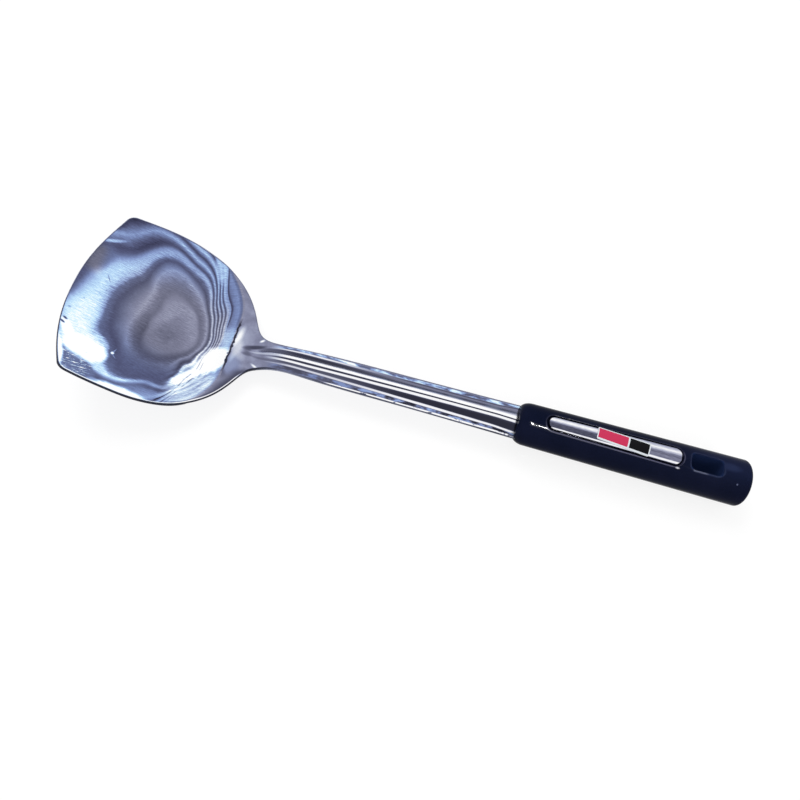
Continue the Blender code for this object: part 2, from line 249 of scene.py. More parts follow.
# %% [markdown]
# A Finish is a material while it is being made, around its Principled shader. It adds what real finishes are
# described with: soft steps instead of hard edges, mixes of two colours, noise and fine relief. It works on
# millimetres, because numbers such as 0.3 and 12 are easier to judge than thousandths of a metre.

# %% Finishes


class Finish(Graph):
    """A material while it is being made."""

    def __init__(self, name):
        self.material = bpy.data.materials.new(name)
        self.material.use_nodes = True
        super().__init__(self.material.node_tree)
        self.shader = self.tree.nodes["Principled BSDF"]

    def set(self, **sockets):
        """Feeds the shader's own sockets: base_color is Base Color, and ior is IOR."""
        for key, value in sockets.items():
            self.feed(self.shader.inputs[key.replace("_", " ").title().replace("Ior", "IOR")], value)

    def position(self):
        """Place back from the tip, distance across and height, in millimetres."""
        x, y, z = self.split(self.node("ShaderNodeTexCoord", {}, {}, "Object"))
        return x * 1000 - 1000 * TIP_X, y * 1000, z * 1000

    def smooth(self, value, low, high):
        """0 below low, 1 above high, and a soft step between."""
        settings = {"interpolation_type": "SMOOTHSTEP"}
        return self.node("ShaderNodeMapRange", settings, {"Value": value, "From Min": low, "From Max": high})

    def fade(self, value, low, high):
        """1 below low, 0 above high, and a soft step between."""
        return 1 - self.smooth(value, low, high)

    def window(self, value, low, full, until, high):
        """1 from full to until, 0 below low and above high, and soft steps between."""
        return self.smooth(value, low, full) * self.fade(value, until, high)

    def mix(self, share, first, second):
        """A mix of two colours."""
        settings = {"data_type": "RGBA", "clamp_factor": True}
        return self.node("ShaderNodeMix", settings, {0: share, 6: first, 7: second}, 2)

    def noise(self, vector, scale, detail=2.0, roughness=0.5):
        sockets = {"Vector": vector, "Scale": scale, "Detail": detail, "Roughness": roughness}
        return self.node("ShaderNodeTexNoise", {}, sockets)

    def bump(self, height, strength, distance, lift=0.0):
        """Fine relief. The lift leans the surface's normal upward before the relief is added."""
        sockets = {"Strength": strength, "Distance": distance, "Height": height}
        if lift:
            normal = self.node("ShaderNodeNewGeometry", {}, {}, "Normal")
            sockets["Normal"] = self.vector("NORMALIZE", self.vector("ADD", normal, (0.0, 0.0, lift)))
        self.set(normal=self.node("ShaderNodeBump", {}, sockets))


print("methods of a finish:", [name for name in vars(Finish) if not name.startswith("_")])

# %% [markdown]
# ## Studio
#
# The photograph is a cut-out on pure white, so the surroundings are white to the camera and in reflections, while
# diffuse light stays at a plain level. Asking the Light Path node what kind of ray arrives keeps the two apart. The
# far side is a touch brighter in reflections, as a lit wall would be.

# %% Surroundings

DIFFUSE_LEVEL = 0.55
FAR_GLOSS_LEVEL = 1.04


def ray_kind(graph, *kinds):
    """1 for rays of these kinds and 0 for the others."""
    return graph.largest(*[graph.node("ShaderNodeLightPath", {}, {}, f"Is {kind} Ray") for kind in kinds])


world = bpy.data.worlds.new("studio")
world.use_nodes = True
bpy.context.scene.world = world
sky = Graph(world.node_tree)
background = world.node_tree.nodes["Background"]
seen = ray_kind(sky, "Glossy", "Transmission")
camera_ray = ray_kind(sky, "Camera")
sideways = sky.split(sky.node("ShaderNodeTexCoord", {}, {}, "Generated"))[1]
gloss_stops = [(0.0, 1.0), (0.5, 1.0), (0.75, FAR_GLOSS_LEVEL), (1.0, FAR_GLOSS_LEVEL)]
gloss_level = sky.split(sky.ramp(sideways * 0.5 + 0.5, gloss_stops))[0]
lit = seen * gloss_level + (1 - seen) * DIFFUSE_LEVEL
sky.feed(background.inputs["Color"], (1.0, 1.0, 1.0))
sky.feed(background.inputs["Strength"], camera_ray + (1 - camera_ray) * lit)
print("diffuse light from the surroundings:", DIFFUSE_LEVEL)

# %% [markdown]
# Two large soft lamps give the other half of the diffuse light and a faint shadow. A third lamp, small and long, is
# tied to the handle alone by light linking: glossy plastic mirrors it as one narrow bright streak near the mouth.
# The two large lamps are hidden from reflections, since the white surroundings already fill those.

# %% Lamps


def soft_lamp(name, place, aim, width, height, watts):
    data = bpy.data.lights.new(name, "AREA")
    data.shape = "RECTANGLE"
    data.size = width
    data.size_y = height
    data.energy = watts
    lamp = bpy.data.objects.new(name, data)
    bpy.context.scene.collection.objects.link(lamp)
    lamp.location = place
    lamp.rotation_euler = (Vector(aim) - Vector(place)).to_track_quat("-Z", "Y").to_euler()
    lamp.visible_glossy = False
    return lamp


MIDDLE = (0.0, 0.0, 0.0)
MOUTH_TOP = (0.064, -0.004, 0.023)
soft_lamp("key_softbox", (-0.5, 0.75, 1.1), MIDDLE, 0.9, 0.9, 9.0)
soft_lamp("fill_softbox", (0.6, -0.9, 0.9), MIDDLE, 0.9, 0.6, 4.0)
gloss_only = bpy.data.collections.new("gloss_only")
dash_lamp = soft_lamp("dash_lamp", (0.270, -0.301, 1.167), MOUTH_TOP, 0.036, 0.36, 200.0)
dash_lamp.visible_glossy = True
dash_lamp.visible_diffuse = False
dash_lamp.light_linking.receiver_collection = gloss_only

# %% [markdown]
# The floor is a wide sheet of matt paper. It adds its own white for rays that see it directly or in a mirror, and
# takes the rest from the lamps, so it looks white and still keeps the object's shadow.

# %% Floor

FLOOR_REACH = 3.0
FLOOR_DROP = 0.0003
FLOOR_GLOW = 0.8
FLOOR_GREY = (0.25, 0.25, 0.25)

floor_mesh = bpy.data.meshes.new("floor")
floor_corners = [(x * FLOOR_REACH, y * FLOOR_REACH, 0) for x, y in ((-1, -1), (1, -1), (1, 1), (-1, 1))]
floor_mesh.from_pydata(floor_corners, [], [(0, 1, 2, 3)])
floor = bpy.data.objects.new("floor", floor_mesh)
bpy.context.scene.collection.objects.link(floor)
floor.location.z = -FLOOR_DROP
paper = Finish("floor_paper")
floor_mesh.materials.append(paper.material)
paper.set(base_color=FLOOR_GREY, roughness=0.9, specular_ior_level=0.0, emission_strength=FLOOR_GLOW)
paper.set(emission_color=paper.mix(ray_kind(paper, "Camera", "Glossy", "Transmission"), (0.0,) * 3, (1.0,) * 3))
print("floor reaches", FLOOR_REACH, "m each way")

# %% [markdown]
# ## Blade, neck and shank
#
# The real piece is one steel sheet, stamped in a press: a shallow dish with its walls turned up, a crisp crease
# where the back wall meets the neck, and a raised rib that stiffens the shank. It is made here row by row across the
# sheet. Each row knows where its middle and its end are, how wide it is and how far it dips, so the same formula
# gives the bowed leading edge, the bowl, the crease and the rib, and the mesh can be as fine as the finish needs.

# %% Sizes of the sheet

SHEET_THICKNESS = 0.0012
BLADE_HALF_WIDTH = 0.0465
LEADING_EDGE_BULGE = 0.0115
LEADING_EDGE_POWER = 2.35
TIP_OVERHANG = 0.00054
CORNER_RADIUS = 0.0058
FLOOR_LENGTH = 0.0655
FLOOR_SIDE_LENGTH = 0.0443
CREASE_PLACE = 0.0797
CREASE_SIDE_PLACE = 0.068
NECK_END_PLACE = 0.0927
NECK_NARROW_PLACE = 0.1012
SHANK_START_PLACE = 0.1209
SHANK_MIDDLE_PLACE = 0.1682
MOUTH_HALF_WIDTH = 0.00947
CORNER_HEIGHT = 0.0352
SHANK_HEIGHT = 0.0125
FRONT_DEPTH = 0.0089
BOWL_DEPTH = 0.0132
WALL_POWER = 3.0
BACK_WALL_POWER = 1.6
CREASE_STRAIGHT_SHARE = 0.42
RIB_START_PLACE = 0.0874
RIB_RAMP = 0.012
RIB_START_HALF_WIDTH = 0.003
RIB_END_HALF_WIDTH = 0.00665
RIB_START_HEIGHT = 0.0024
RIB_END_HEIGHT = 0.0043
SHOULDER_DEPTH = 0.007
SHOULDER_TAPER = 0.0035
TANG_HALF_WIDTH = 0.006
TANG_LENGTH = 0.080
print("the bowl is", 1000 * BOWL_DEPTH, "mm deep")

# %% [markdown]
# Seen from above, the sheet keeps its width over the bowl, narrows to the neck and widens slowly to the handle. Seen
# from the side, its rim is highest at the front corners and lowest at the neck. Both are smooth curves through
# measured places, given as shares of a few main sizes, so one changed size carries the rest with it.

# %% Outline and rim height

SIDE_PLACE_SHARES = (0.0, 0.134, 0.34, 0.437, 0.533, 0.624, 0.704, 0.765, 0.81, 0.851, 0.891, 0.933, 1.0)
SIDE_WIDTH_SHARES = (0.908, 0.955, 0.993, 0.99, 0.958, 0.898, 0.799, 0.686, 0.57, 0.426, 0.272, 0.201, 0.167)
SHANK_WIDTH_SHARES = (0.168, 0.186)
RIM_PLACE_SHARES = (0.0, 0.112, 0.288, 0.447, 0.59, 0.657, 0.7125, 0.763, 0.799, 0.8375, 0.893, 1.0)
RIM_HEIGHT_SHARES = (1.169, 0.978, 0.758, 0.524, 0.36, 0.299, 0.261, 0.233, 0.249, 0.286, 0.324, 0.344)

side_width = spline(
    [NECK_NARROW_PLACE * share for share in SIDE_PLACE_SHARES]
    + [SHANK_START_PLACE, SHANK_MIDDLE_PLACE, MOUTH_PLACE],
    [BLADE_HALF_WIDTH * share for share in SIDE_WIDTH_SHARES + SHANK_WIDTH_SHARES] + [MOUTH_HALF_WIDTH],
)
rim_height = spline(
    [SHANK_START_PLACE * share for share in RIM_PLACE_SHARES] + [SHANK_MIDDLE_PLACE, MOUTH_PLACE],
    [CORNER_HEIGHT * share for share in RIM_HEIGHT_SHARES] + [SHANK_HEIGHT, SHANK_HEIGHT],
)
print("widest half width in mm:", round(1000 * max(side_width(i / 1000) for i in range(100)), 1))

# %% [markdown]
# The rib starts on the neck, grows wider and higher towards the handle, and fades out inside the handle, where the
# sheet has to be flat for the plastic to grip it. It is a soft swelling of the height, so a pressed rib needs no
# points of its own.

# %% The rib


def rib_run(place):
    return (place - RIB_START_PLACE) / (MOUTH_PLACE - RIB_START_PLACE)


def rib_height(place, across):
    half_width = blend(RIB_START_HALF_WIDTH, RIB_END_HALF_WIDTH, rib_run(place))
    full_height = blend(RIB_START_HEIGHT, RIB_END_HEIGHT, rib_run(place))
    rise = smooth_step((place - RIB_START_PLACE) / RIB_RAMP)
    fall = 1 - smooth_step((place - MOUTH_PLACE) / (SHOULDER_DEPTH + SHOULDER_TAPER))
    return full_height * rise * fall * (1 - smooth_step(abs(across) / half_width))


print("rib height at the mouth in mm:", round(1000 * rib_height(MOUTH_PLACE, 0.0), 2))

# %% [markdown]
# A row is one line of points across the sheet. The leading edge bows forward in its middle. The crease runs straight
# for a while and then swings forward to the rims. Between these two kinds of line the rows change step by step, as
# the steel does when it is drawn into a form, so no seam shows anywhere.

# %% One row across the sheet


def crease_swing(share):
    """How far the crease has swung forward, from 0 where it is straight to 1 at the rim."""
    return (max(share - CREASE_STRAIGHT_SHARE, 0.0) / (1 - CREASE_STRAIGHT_SHARE)) ** 2


class Row:
    """One line of points across the sheet: its middle, its end, and how far it dips."""

    def __init__(self, middle, rim, half_width, depth=0.0, crease=0.0, reach=1.0):
        self.middle = middle
        self.rim = rim
        self.half_width = half_width
        self.depth = depth
        self.crease = crease
        self.reach = reach

    def point(self, side):
        share = abs(side)
        place = blend(self.middle, self.rim, blend(share**LEADING_EDGE_POWER, crease_swing(share), self.crease))
        across = side * self.half_width
        height = rim_height(min(place, MOUTH_PLACE)) + rib_height(place, across)
        return Vector((TIP_X + place, across, height - self.depth * (1 - (share * self.reach) ** WALL_POWER)))


def spread(count):
    return [(i + 1) / count for i in range(count)]


print("middle of the tip's row:", [round(value, 4) for value in Row(0.0, LEADING_EDGE_BULGE, 0.04).point(0.0)])

# %% [markdown]
# The blade's rows go round the front corners first, where the ends of the rows follow a small arc. Then come the
# floor of the bowl, the back wall up to the crease, and the neck.

# %% Rows of the blade

CORNER_STEPS = 5
FLOOR_ROWS = 50
WALL_ROWS = 32
NECK_ROWS = 26


def corner_rims(start):
    """Where the rows of a front corner end, and how far short of the full width they stop."""
    first_angle = math.atan(LEADING_EDGE_POWER * LEADING_EDGE_BULGE / side_width(start))
    last_angle = math.atan(CORNER_RADIUS / (side_width(start + CORNER_RADIUS) - side_width(start)))
    angles = [blend(first_angle, last_angle, step / CORNER_STEPS) for step in range(CORNER_STEPS + 1)]
    rims = [start + CORNER_RADIUS * (math.cos(first_angle) - math.cos(angle)) for angle in angles]
    return rims, [CORNER_RADIUS * (math.sin(last_angle) - math.sin(angle)) for angle in angles]


def blade_rows():
    start = LEADING_EDGE_BULGE + TIP_OVERHANG
    rims, insets = corner_rims(start)
    corner_end = rims[-1]
    half_widths = [side_width(corner_end) - inset for inset in insets]
    for share in spread(FLOOR_ROWS):
        rims.append(blend(corner_end, FLOOR_SIDE_LENGTH, share))
        half_widths.append(side_width(rims[-1]))
    rows = []
    for rim, half_width in zip(rims, half_widths):
        share = (rim - start) / (FLOOR_SIDE_LENGTH - start)
        middle = blend(TIP_OVERHANG, FLOOR_LENGTH, share)
        depth = blend(FRONT_DEPTH, BOWL_DEPTH, share)
        rows.append(Row(middle, rim, half_width, depth, reach=half_width / side_width(rim)))
    for share in spread(WALL_ROWS):
        rim = blend(FLOOR_SIDE_LENGTH, CREASE_SIDE_PLACE, share)
        middle = blend(FLOOR_LENGTH, CREASE_PLACE, share)
        rows.append(Row(middle, rim, side_width(rim), BOWL_DEPTH * (1 - share**BACK_WALL_POWER), share))
    for share in spread(NECK_ROWS):
        rim = blend(CREASE_SIDE_PLACE, NECK_END_PLACE, share)
        middle = blend(CREASE_PLACE, NECK_END_PLACE, share)
        rows.append(Row(middle, rim, side_width(rim), 0.0, 1 - share))
    return rows


rows = blade_rows()
print("rows from the tip to the end of the neck:", len(rows))

# %% [markdown]
# Behind the neck the rows run straight across. Inside the handle the sheet steps in at two shoulders to a narrow
# tang, which a real handle is moulded round so that it can't be pulled off.

# %% Rows of the shank and the tang

TANG = (
    (MOUTH_PLACE + SHOULDER_DEPTH, MOUTH_HALF_WIDTH),
    (MOUTH_PLACE + SHOULDER_DEPTH + SHOULDER_TAPER, TANG_HALF_WIDTH),
    (MOUTH_PLACE + TANG_LENGTH, TANG_HALF_WIDTH),
)
SHANK_PARTS = (
    (NECK_END_PLACE, NECK_NARROW_PLACE, 12),
    (NECK_NARROW_PLACE, SHANK_START_PLACE, 18),
    (SHANK_START_PLACE, MOUTH_PLACE, 70),
)
shank_places = [blend(start, end, share) for start, end, count in SHANK_PARTS for share in spread(count)]
rows += [Row(place, place, side_width(place)) for place in shank_places]
rows += [Row(place, place, half_width) for place, half_width in TANG]
print("rows across the sheet:", len(rows))

# %% [markdown]
# The bowl shows nested rings of light and dark round its deepest point, packed into fine stripes on the back wall:
# reflections that a very slightly wavy stamped sheet makes of its surroundings, painted here into the colour. A ring
# number is worked out for each point of the mesh: it rises by one from each ring to the next, at radii that differ
# with the direction from the centre.

# %% Radii of the rings

RING_CENTRE = (0.047, 0.0)
# Direction in degrees, radii of seven rings in millimetres, spacing of the stripes outside them
RING_TABLE = (
    (0, 9.0, 13.5, 15.8, 17.2, 17.8, 18.7, 19.2, 0.60),
    (15, 9.5, 13.5, 16.2, 17.7, 18.5, 19.3, 19.8, 0.70),
    (30, 10.0, 13.5, 17.0, 18.4, 19.1, 19.9, 20.4, 0.86),
    (45, 11.0, 14.5, 18.5, 20.2, 21.3, 22.2, 22.8, 1.12),
    (60, 13.0, 16.0, 21.0, 22.9, 24.6, 25.9, 26.7, 1.15),
    (75, 13.0, 17.5, 24.5, 28.2, 31.2, 33.6, 34.8, 1.85),
    (90, 11.0, 20.0, 28.0, 31.5, 33.8, 36.4, 37.6, 2.5),
    (105, 8.5, 21.0, 31.0, 35.0, 36.8, 40.4, 42.5, 2.9),
    (120, 7.0, 17.0, 27.5, 33.0, 36.0, 40.0, 43.3, 5.2),
    (135, 6.0, 12.5, 20.5, 27.0, 31.2, 37.5, 42.2, 7.5),
    (150, 6.0, 11.0, 17.5, 26.0, 31.4, 41.0, 50.0, 8.0),
    (165, 6.0, 10.5, 16.5, 26.0, 31.8, 41.8, 48.0, 8.0),
    (180, 6.5, 11.0, 17.0, 26.5, 32.0, 42.5, 48.0, 8.0),
    (195, 7.0, 11.5, 18.5, 27.0, 32.5, 48.0, 52.0, 8.0),
    (210, 8.0, 13.0, 20.5, 28.5, 35.0, 49.0, 53.0, 8.0),
    (225, 10.0, 16.0, 23.0, 28.0, 32.0, 46.5, 50.0, 8.0),
    (240, 11.0, 19.0, 24.0, 32.0, 39.0, 43.5, 47.0, 8.0),
    (255, 11.0, 20.0, 24.0, 35.0, 38.6, 40.8, 44.5, 8.0),
    (270, 11.0, 18.0, 22.0, 30.5, 32.6, 34.3, 36.8, 8.0),
    (285, 8.5, 16.0, 20.0, 28.8, 31.9, 33.6, 35.2, 2.2),
    (300, 9.0, 14.5, 16.5, 19.4, 21.2, 23.5, 25.5, 1.4),
    (315, 9.0, 14.0, 15.6, 17.9, 19.2, 20.8, 22.0, 1.1),
    (330, 10.0, 13.5, 15.2, 16.5, 17.2, 18.4, 19.2, 0.80),
    (345, 10.0, 13.5, 15.5, 16.6, 17.1, 17.9, 18.4, 0.60),
)
print("directions and rings:", len(RING_TABLE), len(RING_TABLE[0]) - 2)

# %% [markdown]
# Between the directions of the table the radii follow smooth curves round the circle, so that no ring has a corner.
# One of the rings, a painted bright reflection, is far brighter than the others, and how bright it is changes round
# the bowl in the same way. Both numbers will be stored on the mesh, where the finish can read them.

# %% Ring number over the bowl

# The bright ring is brightest towards the near front corner and the near wall, and dimmest at the far side
RING_SHINE = ((0, 0.80), (60, 0.74), (112, 0.66), (150, 0.82), (190, 0.90), (235, 1.0), (277, 0.84), (320, 1.0))


def round_trip(table, column):
    """A smooth curve of one column of a table over the whole circle."""
    degrees = [line[0] for line in table]
    values = [line[column] for line in table]
    return spline([degrees[-1] - 360, *degrees, 360, degrees[1] + 360], [values[-1], *values, values[0], values[1]])


ring_curves = [round_trip(RING_TABLE, column) for column in range(1, len(RING_TABLE[0]))]
shine_curve = round_trip(RING_SHINE, 1)


def ring_number(point):
    """The ring number and the shine of the bright ring at a point."""
    along = 1000 * (point.x - TIP_X - RING_CENTRE[0])
    across = 1000 * (point.y - RING_CENTRE[1])
    degrees = math.degrees(math.atan2(across, along)) % 360
    radius = math.hypot(along, across)
    *radii, spacing = [curve(degrees) for curve in ring_curves]
    shine = shine_curve(degrees)
    if radius > radii[-1]:
        return len(radii) + (radius - radii[-1]) / spacing, shine
    return float(np.interp(radius, [0.0, *radii], range(len(radii) + 1))), shine


print("ring number at the tip:", round(ring_number(Vector((TIP_X, 0, 0)))[0], 2))

# %% [markdown]
# The pressed rib reflects its surroundings as long bright and dark stripes that follow its slopes, and these
# reflections are painted into the colour. The stripes are numbered across the shank in the same way, from its far
# edge to its near edge. The crease has a number too: how far behind it a point lies.

# %% Band number over the shank

# Place in millimetres, then how far across each band starts, from the far edge to the near edge
BAND_TABLE = (
    (97, 6.6, 6.3, 4.9, 4.5, 2.6, 1.0, -0.5, -1.2, -1.9, -2.9, -3.6, -6.6, -7.1),
    (120, 7.9, 7.4, 5.9, 5.1, 2.8, 1.5, -0.4, -1.35, -2.2, -3.25, -4.1, -7.0, -7.6),
    (200, 9.0, 8.3, 6.3, 5.45, 3.0, 1.4, -0.25, -0.85, -2.0, -4.85, -5.95, -7.7, -8.7),
    (222, 9.15, 8.6, 6.5, 5.8, 2.6, 1.1, -0.3, -0.95, -1.95, -5.4, -6.2, -7.9, -8.9),
    (233, 9.4, 8.9, 7.6, 6.9, 3.2, 0.75, -0.7, -1.3, -2.35, -6.2, -7.1, -8.3, -9.2),
)
band_places = [line[0] for line in BAND_TABLE]
band_edges = list(zip(*[line[1:] for line in BAND_TABLE]))


def band_number(point):
    place = 1000 * (point.x - TIP_X)
    edges = [float(np.interp(place, band_places, edge)) for edge in band_edges]
    return float(np.interp(-1000 * point.y, [-edge for edge in edges], range(len(edges))))


def past_crease(point):
    """How far behind the crease a point is, in millimetres."""
    swing = crease_swing(min(abs(point.y) / side_width(CREASE_SIDE_PLACE), 1.0))
    return 1000 * (point.x - TIP_X - blend(CREASE_PLACE, CREASE_SIDE_PLACE, swing))


print("bands across the shank:", len(band_edges))

# %% [markdown]
# ### The fine mesh of the sheet
#
# The rows become the points of one open mesh, the upper side of the sheet. Its columns are even up to the last
# twentieth, which is left as one strip along each rim, and each row's points lie at the same shares of its width.

# %% The upper side of the sheet

EVEN_COLUMNS = 44
EVEN_SHARE = 0.95
COLUMN_SHARES = [EVEN_SHARE * i / EVEN_COLUMNS for i in range(EVEN_COLUMNS + 1)] + [1.0]
sides = [-share for share in COLUMN_SHARES[:0:-1]] + COLUMN_SHARES
points = [row.point(side) for row in rows for side in sides]


def grid_faces(row_count, wide):
    """Four-sided faces between the rows of a grid of points."""
    corners = [i * wide + j for i in range(row_count - 1) for j in range(wide - 1)]
    return [(first, first + wide, first + wide + 1, first + 1) for first in corners]


wide = len(sides)
faces = grid_faces(len(rows), wide)
sheet_mesh = bpy.data.meshes.new("steel_sheet")
sheet_mesh.from_pydata(points, [], faces)
sheet_mesh.update()
print("sheet faces before thickness:", len(faces))

# %% [markdown]
# The finish needs to know where on the sheet it is in the sheet's own terms: its ring, its band, how far behind the
# crease it lies and how far from the rim. These numbers are stored on the points, so that they bend with the shape.
# The distance to the rim is measured square to the rim in a plan view, because the rows cross it at a slant.

# %% Coordinates stored on the sheet


def store(name, values):
    layer = sheet_mesh.attributes.new(name, "FLOAT", "POINT")
    layer.data.foreach_set("value", values)


def edge_distance(plan, edge):
    """How far each point of a plan is from the nearest part of an edge, in millimetres."""
    nearest = np.full(len(plan), 1.0)
    for start, end in zip(edge, edge[1:]):
        along = end - start
        share = np.clip((plan - start) @ along / max(along @ along, 1e-12), 0, 1)
        nearest = np.minimum(nearest, np.linalg.norm(plan - start - share[:, None] * along, axis=1))
    return 1000 * nearest


ring_values = [ring_number(point) for point in points]
store("ring", [number for number, shine in ring_values])
store("shine", [shine for number, shine in ring_values])
store("band", [band_number(point) for point in points])
store("past_crease", [past_crease(point) for point in points])
plan = np.array([point[:2] for point in points])
in_sight = wide * (len(rows) - len(TANG))
near_side = plan[:in_sight:wide]
far_side = plan[wide - 1 : in_sight : wide]
rim_gaps = edge_distance(plan, np.concatenate([near_side[::-1], plan[1 : wide - 1], far_side]))
store("rim_gap", rim_gaps)
print("furthest from the rim in mm:", round(float(rim_gaps[:in_sight].max()), 1))

# %% [markdown]
# A Solidify modifier gives the sheet its thickness downwards and its cut edge, and puts other materials on the
# underside and the edge by counting slots up from the upper side's. A small Bevel takes the sharpness off the edge,
# as tumbling does to a stamped piece. Shading stays smooth, except across the crease.

# %% Thickness and smoothed edge

SMOOTHED_EDGE = 0.00022
SHARP_DEGREES = 38
BEVEL_DEGREES = 65


def shade_smooth(mesh, sharp_degrees):
    """Smooth shading, except across edges sharper than an angle."""
    mesh.polygons.foreach_set("use_smooth", [True] * len(mesh.polygons))
    mesh.set_sharp_from_angle(angle=math.radians(sharp_degrees))


bowl_faces = (CORNER_STEPS + FLOOR_ROWS + WALL_ROWS) * (wide - 1)
sheet_mesh.polygons.foreach_set("material_index", [0 if i < bowl_faces else 1 for i in range(len(faces))])
shade_smooth(sheet_mesh, SHARP_DEGREES)
steel_sheet = bpy.data.objects.new("steel_sheet", sheet_mesh)
bpy.context.scene.collection.objects.link(steel_sheet)
thick = steel_sheet.modifiers.new("Sheet", "SOLIDIFY")
thick.thickness = SHEET_THICKNESS
thick.offset = -1.0
thick.use_even_offset = True
thick.material_offset = 2
thick.material_offset_rim = 4
edge = steel_sheet.modifiers.new("Smoothed cut edge", "BEVEL")
edge.width = SMOOTHED_EDGE
edge.segments = 2
edge.limit_method = "ANGLE"
edge.angle_limit = math.radians(BEVEL_DEGREES)
edge.use_clamp_overlap = False
edge.material = 4
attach(steel_sheet, "root")
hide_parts("blade_and_shank")
print("faces of the bowl:", bowl_faces)

# %% [markdown]
# ## Steel finish
#
# Every tone of the steel is a number from 0, dark, to 1, bright, and most of these tones are painted reflections and
# painted shade. One ramp turns it into a colour, because the reflections in steel that is buffed this way look
# blue-grey where they are dark and bluish white where they are bright. A second, greyer ramp serves the parts that
# keep the plain colour of the sheet.

# %% The colours of steel

BLUE_STEEL = (
    (0.10, (0.015, 0.016, 0.03)),
    (0.25, (0.055, 0.059, 0.12)),
    (0.35, (0.088, 0.099, 0.195)),
    (0.45, (0.136, 0.169, 0.32)),
    (0.55, (0.20, 0.262, 0.49)),
    (0.65, (0.285, 0.384, 0.66)),
    (0.75, (0.386, 0.54, 0.82)),
    (0.85, (0.505, 0.728, 0.96)),
    (0.95, (0.74, 0.935, 1.0)),
    (1.0, (1.0, 1.0, 1.0)),
)
GREY_STEEL = (
    (0.10, (0.016, 0.016, 0.026)),
    (0.25, (0.054, 0.056, 0.09)),
    (0.35, (0.098, 0.102, 0.155)),
    (0.45, (0.166, 0.172, 0.25)),
    (0.55, (0.243, 0.25, 0.355)),
    (0.65, (0.345, 0.362, 0.48)),
    (0.75, (0.49, 0.51, 0.62)),
    (0.85, (0.675, 0.686, 0.76)),
    (0.95, (0.89, 0.895, 0.93)),
    (1.0, (1.0, 1.0, 1.0)),
)
print("stops of each steel ramp:", len(BLUE_STEEL), len(GREY_STEEL))

# %% [markdown]
# A tone is painted the way a maker would describe it: it follows a list of heights over a number, or it is drawn
# towards another tone inside a soft round or oval area. These few helpers say that, so that each finish below reads
# as a list of what can be seen.

# %% Helpers for painting a tone


def stored(finish, name):
    return finish.node("ShaderNodeAttribute", {"attribute_name": name}, {}, "Fac")


def curve(finish, value, stops):
    """A number that follows a list of places and heights."""
    first = stops[0][0]
    last = stops[-1][0]
    shares = [((place - first) / (last - first), height) for place, height in stops]
    return finish.split(finish.ramp((value - first) / (last - first), shares))[0]


def toward(tone, target, share):
    return tone + (target - tone) * share


def turned(finish, spot, centre, turn):
    """A spot as seen from a centre, after a turn of the view round the upright axis."""
    moved = finish.vector("SUBTRACT", spot, (*centre, 0.0))
    return finish.node("ShaderNodeVectorRotate", {"rotation_type": "Z_AXIS"}, {"Vector": moved, "Angle": -turn})


def disc(finish, spot, centre, inner, outer):
    """1 within the inner radius of a centre, 0 beyond the outer radius."""
    return finish.fade(finish.vector("DISTANCE", spot, (*centre, 0.0), output=1), inner, outer)


def oval(finish, spot, centre, half_sizes, degrees, soft, ripple=0.0):
    """1 inside a soft oval and 0 outside it."""
    scaled = finish.vector("DIVIDE", turned(finish, spot, centre, math.radians(degrees)), (*half_sizes, 1.0))
    distance = finish.length(scaled)
    if ripple:
        distance = distance + (finish.noise(spot, 0.25, 3.0) - 0.5) * ripple
    return finish.fade(distance, 1 - soft, 1 + soft)


def draw_ovals(finish, tone, spot, table, ripple=0.0):
    """Draws the tone towards each oval's tone. A line is centre, half sizes, degrees, tone, strength, softness."""
    for centre, half_sizes, degrees, target, strength, soft in table:
        tone = toward(tone, target, oval(finish, spot, centre, half_sizes, degrees, soft, ripple) * strength)
    return tone


print("halfway from 0.2 to 0.6:", toward(0.2, 0.6, 0.5))

# %% [markdown]
# The ring number gives the bands of painted reflection in the bowl. Noise drawn out along the brush direction is the
# grain: it frays the edges of the rings a little and is used again for the relief. One ring, a painted bright
# reflection, is far brighter than the others, by an amount that changes round the bowl.

# %% Rings of the bowl

# Tones of the painted reflections, by ring number
RING_TONES = (
    (0.0, 0.50), (0.5, 0.51), (1.0, 0.58), (1.5, 0.57), (2.0, 0.43), (2.5, 0.47), (3.0, 0.62), (3.5, 0.47),
    (4.0, 0.33), (4.5, 0.40), (5.0, 0.45), (6.0, 0.46), (6.5, 0.37), (7.0, 0.31), (7.5, 0.50), (8.0, 0.74),
    (9.0, 0.26), (10.0, 0.80), (11.0, 0.28), (12.0, 0.80), (13.0, 0.34), (14.0, 0.78), (15.2, 0.70),
    (16.0, 0.66), (16.4, 0.30), (17.4, 0.44), (19.0, 0.50), (22.0, 0.54),
)
BRIGHT_RING = ((4.7, 0.0), (5.0, 0.5), (5.25, 0.92), (5.5, 1.0), (5.8, 0.88), (6.0, 0.6), (6.3, 0.2), (6.6, 0.0))

bowl = Finish("buffed_bowl_steel")
place, across = bowl.position()[:2]
spot = bowl.join(place, across)
grain = bowl.noise(bowl.join(place * 0.22, across * 2.0), 1.0, 5.0, 0.7)
fleck = bowl.noise(bowl.join(place * 0.8, across * 2.6, 5.0), 1.0, 2.0, 0.5)
ring = stored(bowl, "ring")
fray = (grain - 0.5) * 0.7 * bowl.fade(ring, 6.5, 8.0)
ring = ring + (bowl.noise(spot, 0.12, 2.0) - 0.5) * 0.3 + (bowl.noise(spot, 0.6, 2.0) - 0.5) * 0.12 + fray
tone = curve(bowl, ring, RING_TONES)
tone = toward(tone, stored(bowl, "shine"), curve(bowl, ring, BRIGHT_RING))
print("ring tones:", len(RING_TONES))
